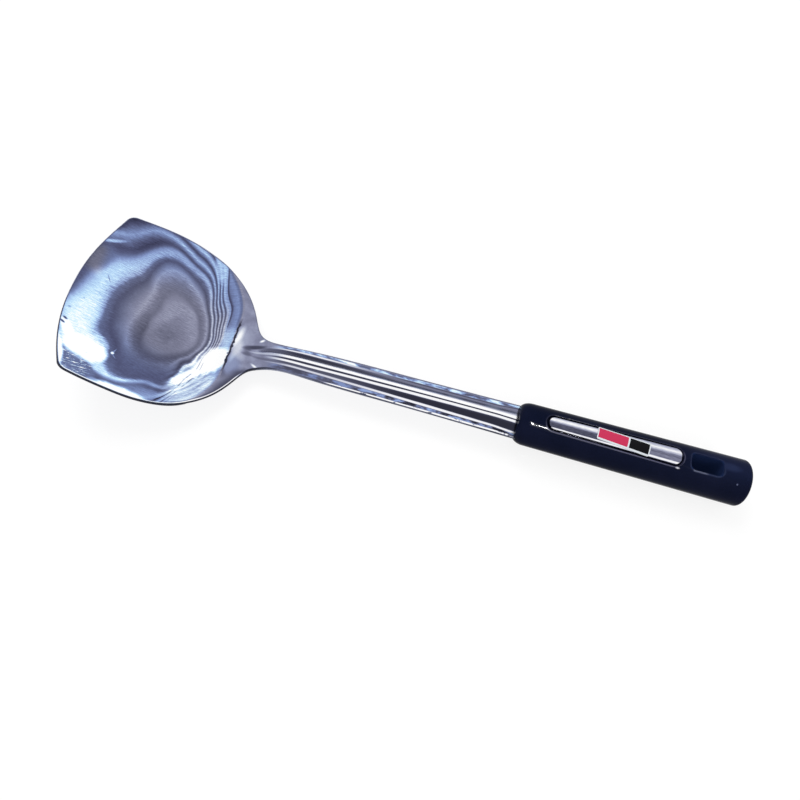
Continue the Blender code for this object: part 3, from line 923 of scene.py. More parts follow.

# %% [markdown]
# On top of the rings lie larger clouds of painted reflection and painted shade. Shades change the tone by a fixed
# amount and keep the rings visible. Patches draw it towards one tone and hide them.

# %% Soft shades and patches

# Painted shade: centre, half sizes, turn in degrees, change of tone
BOWL_SHADES = (
    ((43.0, -14.0), (17.0, 13.0), 0, -0.10),
    ((17.0, 40.0), (15.0, 8.0), 20, -0.13),
    ((70.0, 27.0), (7.0, 14.0), 15, -0.07),
    ((57.0, -33.5), (4.5, 3.5), 0, -0.14),
)
# Painted reflections and painted shade: centre, half sizes, turn in degrees, tone, strength, softness
BOWL_PATCHES = (
    ((44.0, -27.0), (15.0, 8.0), 0, 0.34, 0.7, 0.6),
    ((60.0, 41.5), (3.2, 8.0), 18, 0.80, 0.8, 0.4),
    ((6.5, 19.5), (4.0, 7.5), -20, 0.43, 0.85, 0.5),
    ((10.3, 41.0), (2.2, 5.5), -27, 0.22, 0.85, 0.5),
    ((9.0, 30.0), (5.0, 0.7), 27, 0.84, 0.8, 0.6),
    ((75.0, 6.0), (3.8, 8.0), 0, 0.80, 0.9, 0.5),
    ((9.5, -14.0), (6.0, 12.0), 0, 0.97, 0.7, 0.5),
    ((18.5, -39.5), (11.0, 4.6), -20, 0.44, 1.0, 0.3),
    ((15.0, -29.0), (8.5, 5.4), -14, 1.1, 1.0, 0.35),
    ((21.5, -29.8), (5.5, 5.4), -10, 1.1, 1.0, 0.3),
    ((6.8, -22.5), (5.0, 2.0), -48, 1.1, 1.0, 0.4),
    ((27.0, -36.5), (3.5, 2.2), -40, 0.86, 0.8, 0.5),
    ((47.0, -41.0), (10.0, 4.0), 12, 0.58, 0.6, 0.5),
    ((68.0, -29.0), (14.5, 9.5), 47, 0.82, 0.85, 0.35),
    ((71.0, -36.5), (13.0, 3.5), 47, 0.92, 0.8, 0.5),
    ((61.5, -21.0), (9.5, 3.0), 57, 1.1, 0.9, 0.35),
    ((72.3, -7.8), (7.6, 7.6), 0, 1.1, 1.0, 0.3),
    ((67.5, -12.5), (5.5, 5.0), 0, 1.1, 0.9, 0.4),
    ((8.3, -36.0), (10.5, 2.4), -64, 1.1, 1.0, 0.25),
    ((40.0, -45.8), (13.0, 3.6), 0, 1.1, 1.0, 0.3),
)
for centre, half_sizes, degrees, change in BOWL_SHADES:
    tone = tone + oval(bowl, spot, centre, half_sizes, degrees, 0.6) * change
tone = draw_ovals(bowl, tone, spot, BOWL_PATCHES, 0.4)
print("shades and patches:", len(BOWL_SHADES) + len(BOWL_PATCHES))

# %% [markdown]
# Fine streaks of painted reflection run up the near wall over the pale corner behind the bowl, which is a painted
# reflection too. Noise stretched along the wall's own direction gives them. Two rings of painted reflection break up
# into dark dashes there. The dark front corner has bright scratches, such as scraping a wok leaves.

# %% Streaks and scratches

WALL_TURN = math.radians(50)
PALE_CORNER = (67.0, -28.0)
DARK_CORNER = (16.5, -38.5)
DARK_STREAKS = ((8.5, 0.0), (8.8, 1.0), (9.1, 0.0), (10.7, 0.0), (10.9, 1.0), (11.2, 0.0))

up_wall = place * math.cos(WALL_TURN) + across * math.sin(WALL_TURN)
out_wall = across * math.cos(WALL_TURN) - place * math.sin(WALL_TURN)
wall_streaks = bowl.noise(bowl.join(up_wall * 0.05, out_wall * 0.42, 2.0), 1.0, 3.0, 0.6)
# Painted reflection streaks over the pale corner
tone = tone + (wall_streaks - 0.47) * disc(bowl, spot, PALE_CORNER, 9.0, 17.0) * 1.05
broken = bowl.smooth(bowl.noise(bowl.join(up_wall * 0.2, out_wall * 0.2, 8.0), 1.0, 2.0), 0.45, 0.6)
near_block = bowl.fade(across, -9.0, -5.0) * bowl.smooth(place, 52.0, 57.0)
tone = tone - curve(bowl, ring, DARK_STREAKS) * broken * near_block * 0.6

along_scratch = bowl.join(place * 0.3 + across * 0.22, across * 1.5 - place * 0.3, 9.0)
scratch = bowl.smooth(bowl.noise(along_scratch, 1.0, 4.0, 0.7), 0.53, 0.62)
tone = toward(tone, 1.0, scratch * disc(bowl, spot, DARK_CORNER, 7.0, 11.0))
print("streaks turned by", round(math.degrees(WALL_TURN)), "degrees")

# %% [markdown]
# A small painted glint with two short rays and a few marks of use are listed one by one: dents and short scratches
# near the tip, where the blade works. Each is an oval of a millimetre or so, with the same helper as the large
# patches.

# %% Use marks and a painted glint

# Centre, half sizes, turn in degrees, tone, strength, softness
GLINT_AND_USE_MARKS = (
    # A painted glint and its two rays
    ((28.2, -25.8), (0.7, 0.7), 0, 1.1, 1.0, 0.5),
    ((28.6, -24.2), (0.25, 1.4), -15, 0.75, 0.5, 0.5),
    ((29.4, -27.2), (1.3, 0.2), -40, 0.7, 0.5, 0.5),
    # Dents and short scratches
    ((4.2, -18.4), (1.0, 0.5), -20, 0.25, 0.9, 0.5),
    ((3.9, -20.6), (1.1, 0.5), -20, 0.25, 0.9, 0.5),
    ((12.7, 10.8), (1.7, 0.22), -56, 0.45, 0.8, 0.6),
    ((13.9, 4.2), (0.4, 0.4), 0, 0.55, 0.7, 0.6),
    ((7.0, -4.5), (0.5, 0.3), 0, 0.6, 0.7, 0.6),
    ((3.5, -12.0), (0.7, 0.5), 0, 0.6, 0.7, 0.6),
)
tone = draw_ovals(bowl, tone, spot, GLINT_AND_USE_MARKS)
print("use marks:", len(GLINT_AND_USE_MARKS))

# %% [markdown]
# The rim of a stamped sheet is never quite crisp: its rounded edge mirrors the dark below it, painted as a thin line
# of shade, and along the near side the turned-up rim shows a painted bright reflection between two painted dark
# lines. The lines follow the stored distance to the rim, so they keep their width round every corner. The neck uses
# the same lines.

# %% Lines along the rim

RIM_BRIGHT = 1.05
RIM_INNER = 0.30
RIM_OUTER = 0.24
RIM_OUTER_NEAR = 0.08
RIM_BLACK = 0.12


def rim_lines(finish, tone, place, across):
    """A painted dark line at the sheet's edge, doubled round a painted bright reflection along the near side."""
    gap = stored(finish, "rim_gap")
    near = finish.fade(across, -8.0, -4.0)
    doubled = near * finish.window(place, 10.0, 16.0, 86.0, 91.0)
    behind_bowl = doubled * finish.smooth(place, 54.0, 64.0)
    inward = gap - behind_bowl * 0.25
    tone = toward(tone, RIM_BRIGHT, finish.window(inward, 0.3, 0.5, 0.72, 0.95) * doubled)
    tone = toward(tone, RIM_INNER, finish.window(gap, 1.2, 1.45, 1.6, 2.4) * behind_bowl * 0.7)
    outer_tone = RIM_OUTER - doubled * (RIM_OUTER - RIM_OUTER_NEAR)
    tone = toward(tone, outer_tone, finish.fade(inward, 0.2, 0.55) * (0.8 + doubled * 0.2))
    return toward(tone, RIM_BLACK, finish.fade(gap, 0.7, 1.3) * near * finish.window(place, 87.0, 92.0, 99.0, 110.0))


print("tones of the rim lines:", (RIM_BRIGHT, RIM_INNER, RIM_OUTER, RIM_OUTER_NEAR, RIM_BLACK))

# %% [markdown]
# The back wall's painted reflections rise to the crease in soft stripes on its far side and in one flat grey near the
# crease on the near side. The crease itself is a dark line of painted shade, a little wavy, that shows in the middle
# of the neck. The number stored on the mesh says how far behind the crease a point lies, so all of this follows the
# fold.

# %% Back wall and crease

CREASE_TONE = 0.14
NEAR_NECK_TONE = 0.54
FAR_NECK_TONE = 0.56
WALL_STREAKS = ((-14.0, 0.5), (-8.0, 0.45), (-5.0, 0.54), (-3.6, 0.56), (-2.2, 0.44), (0.0, 0.5))


def crease_wobble(finish, spot):
    """How far the crease's dark line strays, in millimetres."""
    return (finish.noise(spot, 0.35, 3.0) - 0.5) * 3.2


def neck_middle(finish, across):
    return finish.fade(finish.math("ABSOLUTE", across), 11.0, 17.0)


behind = stored(bowl, "past_crease")
far_wall = bowl.smooth(ring, 16.8, 18.0) * bowl.smooth(across, 6.0, 16.0)
tone = toward(tone, curve(bowl, behind, WALL_STREAKS), far_wall)
near_neck = bowl.window(across, -40.0, -28.0, -20.0, -13.0) * bowl.smooth(behind, -4.0, -0.3)
tone = toward(tone, NEAR_NECK_TONE, near_neck)
tone = toward(tone, FAR_NECK_TONE, bowl.smooth(behind, -1.5, -0.8) * bowl.smooth(across, 9.0, 15.0))
# The crease's dark line is painted shade
crease_line = bowl.smooth(behind + crease_wobble(bowl, spot), -1.3, -0.9) * neck_middle(bowl, across)
tone = toward(tone, CREASE_TONE, crease_line * 0.95)
tone = rim_lines(bowl, tone, place, across)
print("the crease's tone:", CREASE_TONE)

# %% [markdown]
# The painted reflections are bluish over most of the bowl, and greyer round the deepest point, on the stripes of the
# back wall and along the front edge, so the two ramps are mixed by where the point lies. The grain then shifts the
# tone, roughness and relief together, as real brushing does. The normal is leaned upward, so that the painted tones
# show evenly from every side.

# %% Grain and colour of the bowl

DEEPEST = (46.0, 4.0)
GREY_WALL = (67.0, -29.0)
GRAIN_RELIEF = 0.25
GRAIN_DEPTH = 0.00002
BOWL_LIFT = 1.2

coarse = bowl.window(tone, 0.5, 0.72, 1.0, 1.06)
tone = tone + (grain - 0.5) * (0.3 + coarse * 0.4) + (fleck - 0.5) * (0.12 + coarse * 0.1)
stripes = bowl.window(ring, 7.2, 8.2, 14.5, 16.0) * bowl.smooth(place, 55.0, 60.0)
stripes = stripes * bowl.fade(bowl.math("ABSOLUTE", across - 4), 10.0, 26.0)
grey = bowl.largest(
    disc(bowl, spot, DEEPEST, 14.0, 34.0),
    stripes * 0.85,
    bowl.smooth(behind, -2.0, -0.8),
    near_neck * 0.7,
    bowl.fade(place, 5.0, 10.0) * bowl.window(across, 8.0, 14.0, 23.0, 28.0),
    disc(bowl, spot, GREY_WALL, 9.0, 17.0) * 0.4,
)
bowl.set(
    base_color=bowl.mix(grey, bowl.ramp(tone, BLUE_STEEL), bowl.ramp(tone, GREY_STEEL)),
    metallic=1.0,
    roughness=0.3 - grain * 0.1,
)
bowl.bump(grain, GRAIN_RELIEF, GRAIN_DEPTH, BOWL_LIFT)
sheet_mesh.materials.append(bowl.material)
print("nodes in the bowl's finish:", len(bowl.tree.nodes))

# %% [markdown]
# Behind the crease the steel is left as the press made it: smooth and satin on the neck, and mirror bright along the
# rib. The band number gives its stripes of painted reflection. They differ a little between the front and the rear of
# the shank, so two lists of tones are blended along it.

# %% Stripes of the shank

# Tones of the painted reflections, by band number
FRONT_BANDS = (
    (0.0, 0.45), (0.9, 0.5), (1.2, 0.66), (1.85, 0.66), (2.1, 0.93), (2.8, 0.92), (3.05, 0.35), (3.4, 0.16),
    (3.8, 0.22), (4.0, 0.36), (5.0, 0.98), (5.9, 1.0), (6.1, 0.2), (6.8, 0.2), (7.05, 0.98), (7.8, 0.98),
    (8.05, 0.3), (8.8, 0.36), (9.1, 0.85), (9.85, 0.85), (10.1, 0.4), (10.9, 0.42), (11.9, 0.3), (12.0, 0.2),
)
REAR_BANDS = (
    (0.0, 0.40), (0.9, 0.45), (1.15, 0.62), (1.9, 0.62), (2.1, 0.34), (2.85, 0.32), (3.0, 0.5), (3.5, 0.42),
    (3.6, 0.34), (4.0, 0.40), (5.0, 0.98), (5.9, 1.0), (6.1, 0.2), (6.9, 0.2), (7.05, 0.98), (7.9, 0.97),
    (8.08, 0.2), (8.3, 0.15), (8.9, 0.15), (9.05, 0.97), (9.9, 0.97), (10.1, 0.34), (11.8, 0.38), (12.0, 0.2),
)
shank = Finish("pressed_shank_steel")
place, across = shank.position()[:2]
spot = shank.join(place, across)
band = stored(shank, "band") + (shank.noise(shank.join(place * 0.1, across), 0.6, 2.0) - 0.5) * 0.12
rearward = shank.smooth(place, 128.0, 180.0)
tone = toward(curve(shank, band, FRONT_BANDS), curve(shank, band, REAR_BANDS), rearward)
print("tones across the shank:", len(FRONT_BANDS))

# %% [markdown]
# The flat flanges beside the rib are slightly dimpled, which breaks their reflection into small clouds, painted here
# into the colour. The near edge catches the light as a sparkling line towards the handle, a painted highlight. At the
# neck the stripes give way to plain satin.

# %% Clouds, sparkle and satin

flange = shank.window(band, 1.0, 1.2, 1.8, 2.0) + shank.window(band, 10.0, 10.2, 10.8, 11.1)
flange = flange * shank.smooth(place, 98.0, 108.0)
front_near = shank.fade(place, 140.0, 165.0) * shank.smooth(band, 9.0, 10.0)
# Painted reflection clouds on the flanges
clouds = shank.noise(shank.join(place * 0.11, across * 0.3, 3.0), 1.0, 3.0, 0.6)
tone = tone + (shank.smooth(clouds, 0.38, 0.62) - 0.42) * flange * (0.6 - front_near * 0.32)
# A painted sparkling highlight along the near edge
sparkle = shank.smooth(shank.noise(shank.join(place * 0.22, across * 0.4, 7.0), 1.0, 4.0, 0.65), 0.36, 0.46)
edge_line = shank.window(band, 10.9, 11.1, 11.7, 11.95) * shank.smooth(place, 128.0, 136.0)
tone = toward(tone, sparkle * 0.8 + 0.3, edge_line)
satin_tone = 0.55 + (shank.noise(spot, 0.2, 2.0) - 0.5) * 0.3
tone = toward(satin_tone, tone, shank.smooth(place, 95.0, 110.0))
print("nodes in the shank's finish so far:", len(shank.tree.nodes))

# %% [markdown]
# The start of the rib and the folds beside it are small rounded forms, and each mirrors something else. They are
# placed like the bowl's patches. The near flank of the neck falls away from the light and darkens to its rim.

# %% Light and shade on the neck

# Painted reflections and painted shade: centre, half sizes, turn in degrees, tone, strength, softness
NECK_PATCHES = (
    ((72.0, -37.0), (6.0, 6.0), 0, 0.86, 0.9, 0.4),
    ((76.0, -30.0), (3.5, 3.5), 0, 0.66, 0.7, 0.6),
    ((82.5, -11.0), (2.8, 4.2), 10, 0.60, 0.8, 0.6),
    ((79.0, -15.5), (1.6, 3.0), 35, 0.34, 0.6, 0.7),
    ((84.5, -4.0), (3.5, 2.0), -25, 0.74, 0.7, 0.7),
    ((84.5, 3.0), (3.0, 8.0), 0, 0.72, 0.6, 0.7),
    ((81.2, 4.8), (1.5, 6.0), -7, 1.0, 0.95, 0.75),
    ((83.0, 0.0), (1.6, 3.6), 0, 0.88, 0.8, 0.8),
    ((82.0, -3.5), (1.2, 5.0), -8, 0.82, 0.7, 0.6),
    ((91.0, 2.9), (5.2, 1.1), 20, 0.25, 0.95, 0.5),
    ((87.6, 0.6), (1.8, 1.8), 0, 0.33, 0.8, 0.7),
    ((88.0, -2.0), (2.4, 0.9), 5, 0.36, 0.8, 0.6),
    ((97.5, -0.2), (8.5, 0.5), 0, 0.78, 0.85, 0.6),
    ((102.0, 3.4), (9.0, 0.9), 2, 0.33, 0.8, 0.6),
    ((99.0, -2.7), (9.0, 0.5), -3, 0.38, 0.7, 0.6),
    ((93.3, 7.6), (1.3, 0.6), 40, 1.0, 1.0, 0.7),
    ((93.8, -7.6), (1.9, 0.6), -25, 1.0, 0.9, 0.7),
)
NECK_SHADE_TONE = 0.24

tone = draw_ovals(shank, tone, spot, NECK_PATCHES, 0.2)
# Painted shade on the near flank, darkening to its rim
rim_shade = shank.fade(stored(shank, "rim_gap"), 0.5, 6.5)
rim_shade = rim_shade * shank.fade(across, -14.0, -9.0) * shank.smooth(place, 70.0, 83.0)
tone = toward(tone, NECK_SHADE_TONE, rim_shade * 0.9)
past_line = stored(shank, "past_crease") + crease_wobble(shank, spot)
tone = toward(tone, CREASE_TONE, shank.fade(past_line, 0.1, 0.5) * neck_middle(shank, across))
neck_only = shank.fade(place, 104.0, 110.0)
tone = toward(tone, rim_lines(shank, tone, place, across), neck_only)
print("patches on the neck:", len(NECK_PATCHES))

# %% [markdown]
# The shank's painted reflections are greyer than the bowl's. Only its flanges carry blue painted reflections, with
# one bluish spot of painted reflection in the fold of the neck, so here the grey ramp comes first. Very fine lines
# run along it, as rolling leaves them in the sheet.

# %% Grain and colour of the shank

BLUE_SPOT = (81.5, -11.0)

grain = shank.noise(shank.join(place * 0.15, across * 6.0), 1.0, 3.0, 0.6)
tone = tone + (grain - 0.5) * 0.06
# Blue painted reflections on the flanges and in the fold of the neck
blue = flange * shank.smooth(tone, 0.3, 0.5) + neck_only * 0.1 + disc(shank, spot, BLUE_SPOT, 3.0, 8.0) * 0.35
shank.set(
    base_color=shank.mix(blue, shank.ramp(tone, GREY_STEEL), shank.ramp(tone, BLUE_STEEL)),
    metallic=1.0,
    roughness=0.2 + grain * 0.08,
)
sheet_mesh.materials.append(shank.material)
print("nodes in the shank's finish:", len(shank.tree.nodes))

# %% [markdown]
# The underside can't be seen in the photograph. It is the same steel, so it gets the grey ramp with a plainer brushed
# grain. The Solidify modifier looks for it two slots above the upper side's material, so it fills both slots.

# %% Underside

under = Finish("brushed_underside_steel")
place, across = under.position()[:2]
grain = under.noise(under.join(place * 0.25, across * 4.0), 1.0, 4.0, 0.6)
cloud = under.noise(under.join(place, across), 0.06, 3.0)
under.set(
    base_color=under.ramp(0.62 + (cloud - 0.5) * 0.5 + (grain - 0.5) * 0.25, GREY_STEEL),
    metallic=1.0,
    roughness=0.28 + grain * 0.1,
)
under.bump(grain, GRAIN_RELIEF, GRAIN_DEPTH)
for slot in range(2):
    sheet_mesh.materials.append(under.material)
print("slots filled:", len(sheet_mesh.materials))

# %% [markdown]
# The cut edge is bright where the sheet was sheared and smoothed, with streaks across its thickness. Along the near
# side it faces the shade and looks almost black.

# %% Cut edge

cut_edge = Finish("cut_edge_steel")
place, across, height = cut_edge.position()
streak = cut_edge.noise(cut_edge.join(place * 0.5, across * 0.5, height * 6.0), 1.0, 3.0)
edge_colour = cut_edge.ramp(streak, ((0.3, (0.12, 0.13, 0.2)), (0.7, (0.42, 0.46, 0.62))))
shaded = cut_edge.fade(across, -10.0, -6.0) * 0.93
cut_edge.set(
    base_color=cut_edge.mix(shaded, edge_colour, (0.012, 0.012, 0.02)),
    metallic=1.0,
    roughness=0.25 + streak * 0.15,
)
for slot in range(2):
    sheet_mesh.materials.append(cut_edge.material)
print("slots filled:", len(sheet_mesh.materials))

# %% [markdown]
# ## Handle
#
# The handle is moulded round the shank: a nearly straight bar with a rounded nose, a softly domed rear end, a long
# slot on top for the metal strip and a hanging hole. It is turned from a profile with a Screw modifier, and the slot
# and the hole are cut by lofted solids that widen where they leave the surface, which gives their edges a soft lip.

# %% Handle sizes

HANDLE_REAR_RADIUS = 0.0124
HANDLE_MOUTH_RADIUS = 0.0112
NOSE_LENGTH = 0.006
NOSE_DROP = 0.0035
REAR_ROUNDING = 0.0025
REAR_DOME = 0.001
SLOT_REAR_PLACE = 0.0377
SLOT_FRONT_PLACE = 0.109
SLOT_REAR_HALF_WIDTH = 0.00524
SLOT_FRONT_HALF_WIDTH = 0.00413
SLOT_DEPTH = 0.0027
SLOT_LIP = 0.0004
HOLE_REAR_PLACE = 0.0169
HOLE_LENGTH = 0.0165
HOLE_HALF_WIDTH = 0.00423
HOLE_CORNER = 0.00275
HOLE_LIP = 0.0008
HANDLE_SEGMENTS = 128
ARC_STEPS = 12
LIP_STEPS = 6
QUARTER_TURN = math.pi / 2
print("the handle is", round(2000 * HANDLE_REAR_RADIUS, 1), "mm thick at its rear")

# %% [markdown]
# The profile runs from the middle of the rear end over its dome and its rounded edge, forward along the side, and in
# over the nose. A lathe turned the master of a mould like this one, and the Screw modifier does the same later.

# %% Profile of the handle


def handle_radius(x):
    return blend(HANDLE_MOUTH_RADIUS, HANDLE_REAR_RADIUS, (x - TIP_X - MOUTH_PLACE) / HANDLE_LENGTH)


def top_line(x):
    return AXIS_HEIGHT + handle_radius(x)


def handle_profile():
    """The handle's outer side, as distance from the axis and distance along it, from its rear end to its nose."""
    tilt = math.atan(2 * REAR_DOME / (HANDLE_REAR_RADIUS - REAR_ROUNDING))
    edge = HANDLE_REAR_RADIUS - REAR_ROUNDING * (1 - math.sin(tilt))
    profile = [(edge * i / ARC_STEPS, HANDLE_LENGTH - REAR_DOME * (i / ARC_STEPS) ** 2) for i in range(ARC_STEPS)]
    centre = HANDLE_LENGTH - REAR_DOME - REAR_ROUNDING * math.cos(tilt)
    for i in range(ARC_STEPS + 1):
        angle = blend(tilt, QUARTER_TURN, i / ARC_STEPS)
        across = HANDLE_REAR_RADIUS - REAR_ROUNDING * (1 - math.sin(angle))
        profile.append((across, centre + REAR_ROUNDING * math.cos(angle)))
    for i in range(1, ARC_STEPS):
        share = i / ARC_STEPS
        profile.append((blend(HANDLE_REAR_RADIUS, HANDLE_MOUTH_RADIUS, share), blend(centre, NOSE_LENGTH, share)))
    for i in range(ARC_STEPS + 1):
        angle = QUARTER_TURN * (1 - i / ARC_STEPS)
        across = HANDLE_MOUTH_RADIUS - NOSE_DROP * (1 - math.sin(angle))
        profile.append((across, NOSE_LENGTH * (1 - math.cos(angle))))
    return profile + [(0.0, 0.0)]


print("handle profile points:", len(handle_profile()))

# %% [markdown]
# The slot, the hole, the strip and the label are all long shapes with rounded corners, seen from above. One function
# gives such an outline, and another lofts a solid through loops of points that match one to one.

# %% Outlines and lofted solids


def rounded_outline(rear, front, rear_half_width, front_half_width, corner, grow=0.0):
    """Points round a long hole with rounded corners, seen from above."""
    rear += grow
    front -= grow
    corner += grow
    rear_half_width += grow
    front_half_width += grow
    corners = (
        (rear - corner, rear_half_width - corner, 0),
        (front + corner, front_half_width - corner, 1),
        (front + corner, corner - front_half_width, 2),
        (rear - corner, corner - rear_half_width, 3),
    )
    outline = []
    for x, y, quarter in corners:
        for i in range(ARC_STEPS + 1):
            angle = QUARTER_TURN * (quarter + i / ARC_STEPS)
            outline.append((x + corner * math.cos(angle), y + corner * math.sin(angle)))
    return outline


def new_object(name, points, faces, edges=()):
    mesh = bpy.data.meshes.new(name)
    mesh.from_pydata([tuple(point) for point in points], edges, faces)
    mesh.update()
    made = bpy.data.objects.new(name, mesh)
    bpy.context.scene.collection.objects.link(made)
    return made


def lofted(name, loops):
    """A closed solid through loops of points that match one to one, from the lowest loop up."""
    count = len(loops[0])
    points = [point for loop in loops for point in loop]
    faces = []
    for i in range(len(loops) - 1):
        for j in range(count):
            after = (j + 1) % count
            faces.append((i * count + j, i * count + after, (i + 1) * count + after, (i + 1) * count + j))
    faces.append(tuple(reversed(range(count))))
    faces.append(tuple(range((len(loops) - 1) * count, len(loops) * count)))
    return new_object(name, points, faces)


print("points round an outline:", 4 * (ARC_STEPS + 1))

# %% [markdown]
# A moulded opening has no sharp edge: the plastic rolls over into it. So each cutter widens along a quarter circle
# where it leaves the round handle. The hole is cut through with such a lip on both sides, the slot from above.

# %% Cutters for the slot and the hole


def lip_loops(outline, side, lip):
    """Loops that widen a cut where it leaves the handle's upper (1) or lower (-1) side."""
    loops = []
    for i in range(LIP_STEPS + 1):
        angle = QUARTER_TURN * i / LIP_STEPS
        lift = lip * (math.sin(angle) - 1)
        loop = []
        for x, y in outline(lip * (1 - math.cos(angle))):
            loop.append((x, y, AXIS_HEIGHT + side * (math.sqrt(handle_radius(x) ** 2 - y**2) + lift)))
        loops.append(loop)
    loops.append([(x, y, AXIS_HEIGHT + side * (handle_radius(x) + lip)) for x, y in outline(lip)])
    return loops


def hole_outline(grow):
    rear = REAR_X - HOLE_REAR_PLACE
    return rounded_outline(rear, rear - HOLE_LENGTH, HOLE_HALF_WIDTH, HOLE_HALF_WIDTH, HOLE_CORNER, grow)


def slot_outline(grow):
    corner = SLOT_FRONT_HALF_WIDTH - SLOT_LIP
    rear = REAR_X - SLOT_REAR_PLACE
    front = REAR_X - SLOT_FRONT_PLACE
    return rounded_outline(rear, front, SLOT_REAR_HALF_WIDTH, SLOT_FRONT_HALF_WIDTH, corner, grow)


hole_loops = lip_loops(hole_outline, -1, HOLE_LIP)[::-1] + lip_loops(hole_outline, 1, HOLE_LIP)
hole_cutter = lofted("hole_cutter", hole_loops)
slot_floor = [(x, y, top_line(x) - SLOT_DEPTH) for x, y in slot_outline(0.0)]
slot_cutter = lofted("slot_cutter", [slot_floor] + lip_loops(slot_outline, 1, SLOT_LIP))
print("loops of the hole's cutter:", len(hole_loops))

# %% [markdown]
# The mouth of the handle closes round the shank with a hairline gap, so the sheet's own rows cut the handle as well,
# made a little thicker and wider.

# %% Cutter for the mouth

FIT_GAP = 0.0003
MOUTH_THICKNESS = SHEET_THICKNESS + 2 * FIT_GAP
MOUTH_REACH = 0.004
MOUTH_COLUMNS = 40

mouth_places = (MOUTH_PLACE - MOUTH_REACH, MOUTH_PLACE, MOUTH_PLACE + SHOULDER_DEPTH)
mouth_rows = [Row(place, place, MOUTH_HALF_WIDTH + FIT_GAP) for place in mouth_places]
mouth_sides = [2 * i / MOUTH_COLUMNS - 1 for i in range(MOUTH_COLUMNS + 1)]
mouth_points = [row.point(side) for row in mouth_rows for side in mouth_sides]
mouth_cutter = new_object("mouth_cutter", mouth_points, grid_faces(len(mouth_rows), len(mouth_sides)))
mouth_thick = mouth_cutter.modifiers.new("Sheet", "SOLIDIFY")
mouth_thick.thickness = MOUTH_THICKNESS
mouth_thick.offset = -SHEET_THICKNESS / MOUTH_THICKNESS
mouth_thick.use_even_offset = True
print("gap round the shank in mm:", 1000 * FIT_GAP)

# %% [markdown]
# The profile is turned into a bar, and the three cutters are taken out of it one after another. The result is kept
# as a plain mesh, so that the faces inside the hole can get a finish of their own.

# %% Turn and cut the handle

EDGE_SHARP_DEGREES = 35
MERGE_DISTANCE = 0.00001


def cut_result(name, base, cutters):
    """The base with the cutters taken out, as a plain mesh object with no modifiers."""
    for cutter in cutters:
        boolean = base.modifiers.new("cut", "BOOLEAN")
        boolean.operation = "DIFFERENCE"
        boolean.solver = "EXACT"
        boolean.object = cutter
    mesh = bpy.data.meshes.new_from_object(base.evaluated_get(bpy.context.evaluated_depsgraph_get()))
    mesh.transform(base.matrix_world)
    for used in [base, *cutters]:
        bpy.data.objects.remove(used, do_unlink=True)
    made = bpy.data.objects.new(name, mesh)
    mesh.name = name
    bpy.context.scene.collection.objects.link(made)
    return made


profile_points = [(across, 0.0, along) for across, along in handle_profile()]
profile_edges = [(i, i + 1) for i in range(len(profile_points) - 1)]
turned_bar = new_object("turned_bar", profile_points, [], profile_edges)
screw = turned_bar.modifiers.new("Turned form", "SCREW")
screw.steps = HANDLE_SEGMENTS
screw.render_steps = HANDLE_SEGMENTS
screw.use_merge_vertices = True
screw.merge_threshold = MERGE_DISTANCE
turned_bar.location = (TIP_X + MOUTH_PLACE, 0, AXIS_HEIGHT)
turned_bar.rotation_euler = (0, QUARTER_TURN, 0)
bpy.context.view_layer.update()
grip = cut_result("moulded_grip", turned_bar, [mouth_cutter, slot_cutter, hole_cutter])
grip.data.materials.clear()
grip.data.polygons.foreach_set("material_index", [0] * len(grip.data.polygons))
shade_smooth(grip.data, EDGE_SHARP_DEGREES)
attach(grip, "root")
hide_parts("handle_grip")
gloss_only.objects.link(grip)
print("grip faces:", len(grip.data.polygons))

# %% [markdown]
# The grip is a glossy plastic that looks black but is a very deep navy. Two close colours are mixed by large soft
# clouds and by the side: the near side is painted lighter, as light from the white floor that it sees more of, and
# the rear end is painted a little paler, as a sheen.

# %% Navy plastic

NAVY = (0.0042, 0.0066, 0.0215)
LIGHTER_NAVY = (0.0078, 0.0105, 0.031)
REAR_NAVY = (0.012, 0.0175, 0.053)

plastic = Finish("navy_black_plastic")
place, across, height = plastic.position()
spot = plastic.join(place, across, height)
cloud = plastic.smooth(plastic.noise(spot, 0.05, 2.0), 0.35, 0.65)
# The near side is painted lighter, as light from the white floor
near_side_share = plastic.fade(across, -8.0, -2.0)
colour = plastic.mix(cloud * 0.5 + near_side_share * 0.5, NAVY, LIGHTER_NAVY)
# A painted sheen over the rear end
rear_sheen = plastic.smooth(place, 312.0, 335.0) * plastic.smooth(across, -9.0, 2.0)
colour = plastic.mix(rear_sheen * 0.6, colour, REAR_NAVY)
print("nodes for the plain colour:", len(plastic.tree.nodes))

# %% [markdown]
# The rolled lips of the slot and the hole catch light all round. Their glow, a painted highlight, is drawn by the
# distance outside a rounded rectangle, which is worked out from the same sizes that cut them. On the near side it is
# stronger, and the rear of the hole has a second, finer line.

# %% Lips of the slot and the hole

HOLE_LIP_BLUE = (0.045, 0.06, 0.13)
DOUBLE_LIP_GREY = (0.28, 0.30, 0.42)
SLOT_LIP_GREY = (0.10, 0.10, 0.18)
TOP_STARTS_MM = 1000 * AXIS_HEIGHT + 6.0
TOP_FULL_MM = 1000 * AXIS_HEIGHT + 8.0


def rounded_gap(finish, along, across, half_length, half_width, corner):
    """Distance outside a rounded rectangle round a middle, seen from above, in millimetres."""
    beyond_end = finish.largest(finish.math("ABSOLUTE", along) - (half_length - corner), 0.0)
    beyond_side = finish.largest(finish.math("ABSOLUTE", across) - (half_width - corner), 0.0)
    return finish.length(finish.join(beyond_end, beyond_side)) - corner


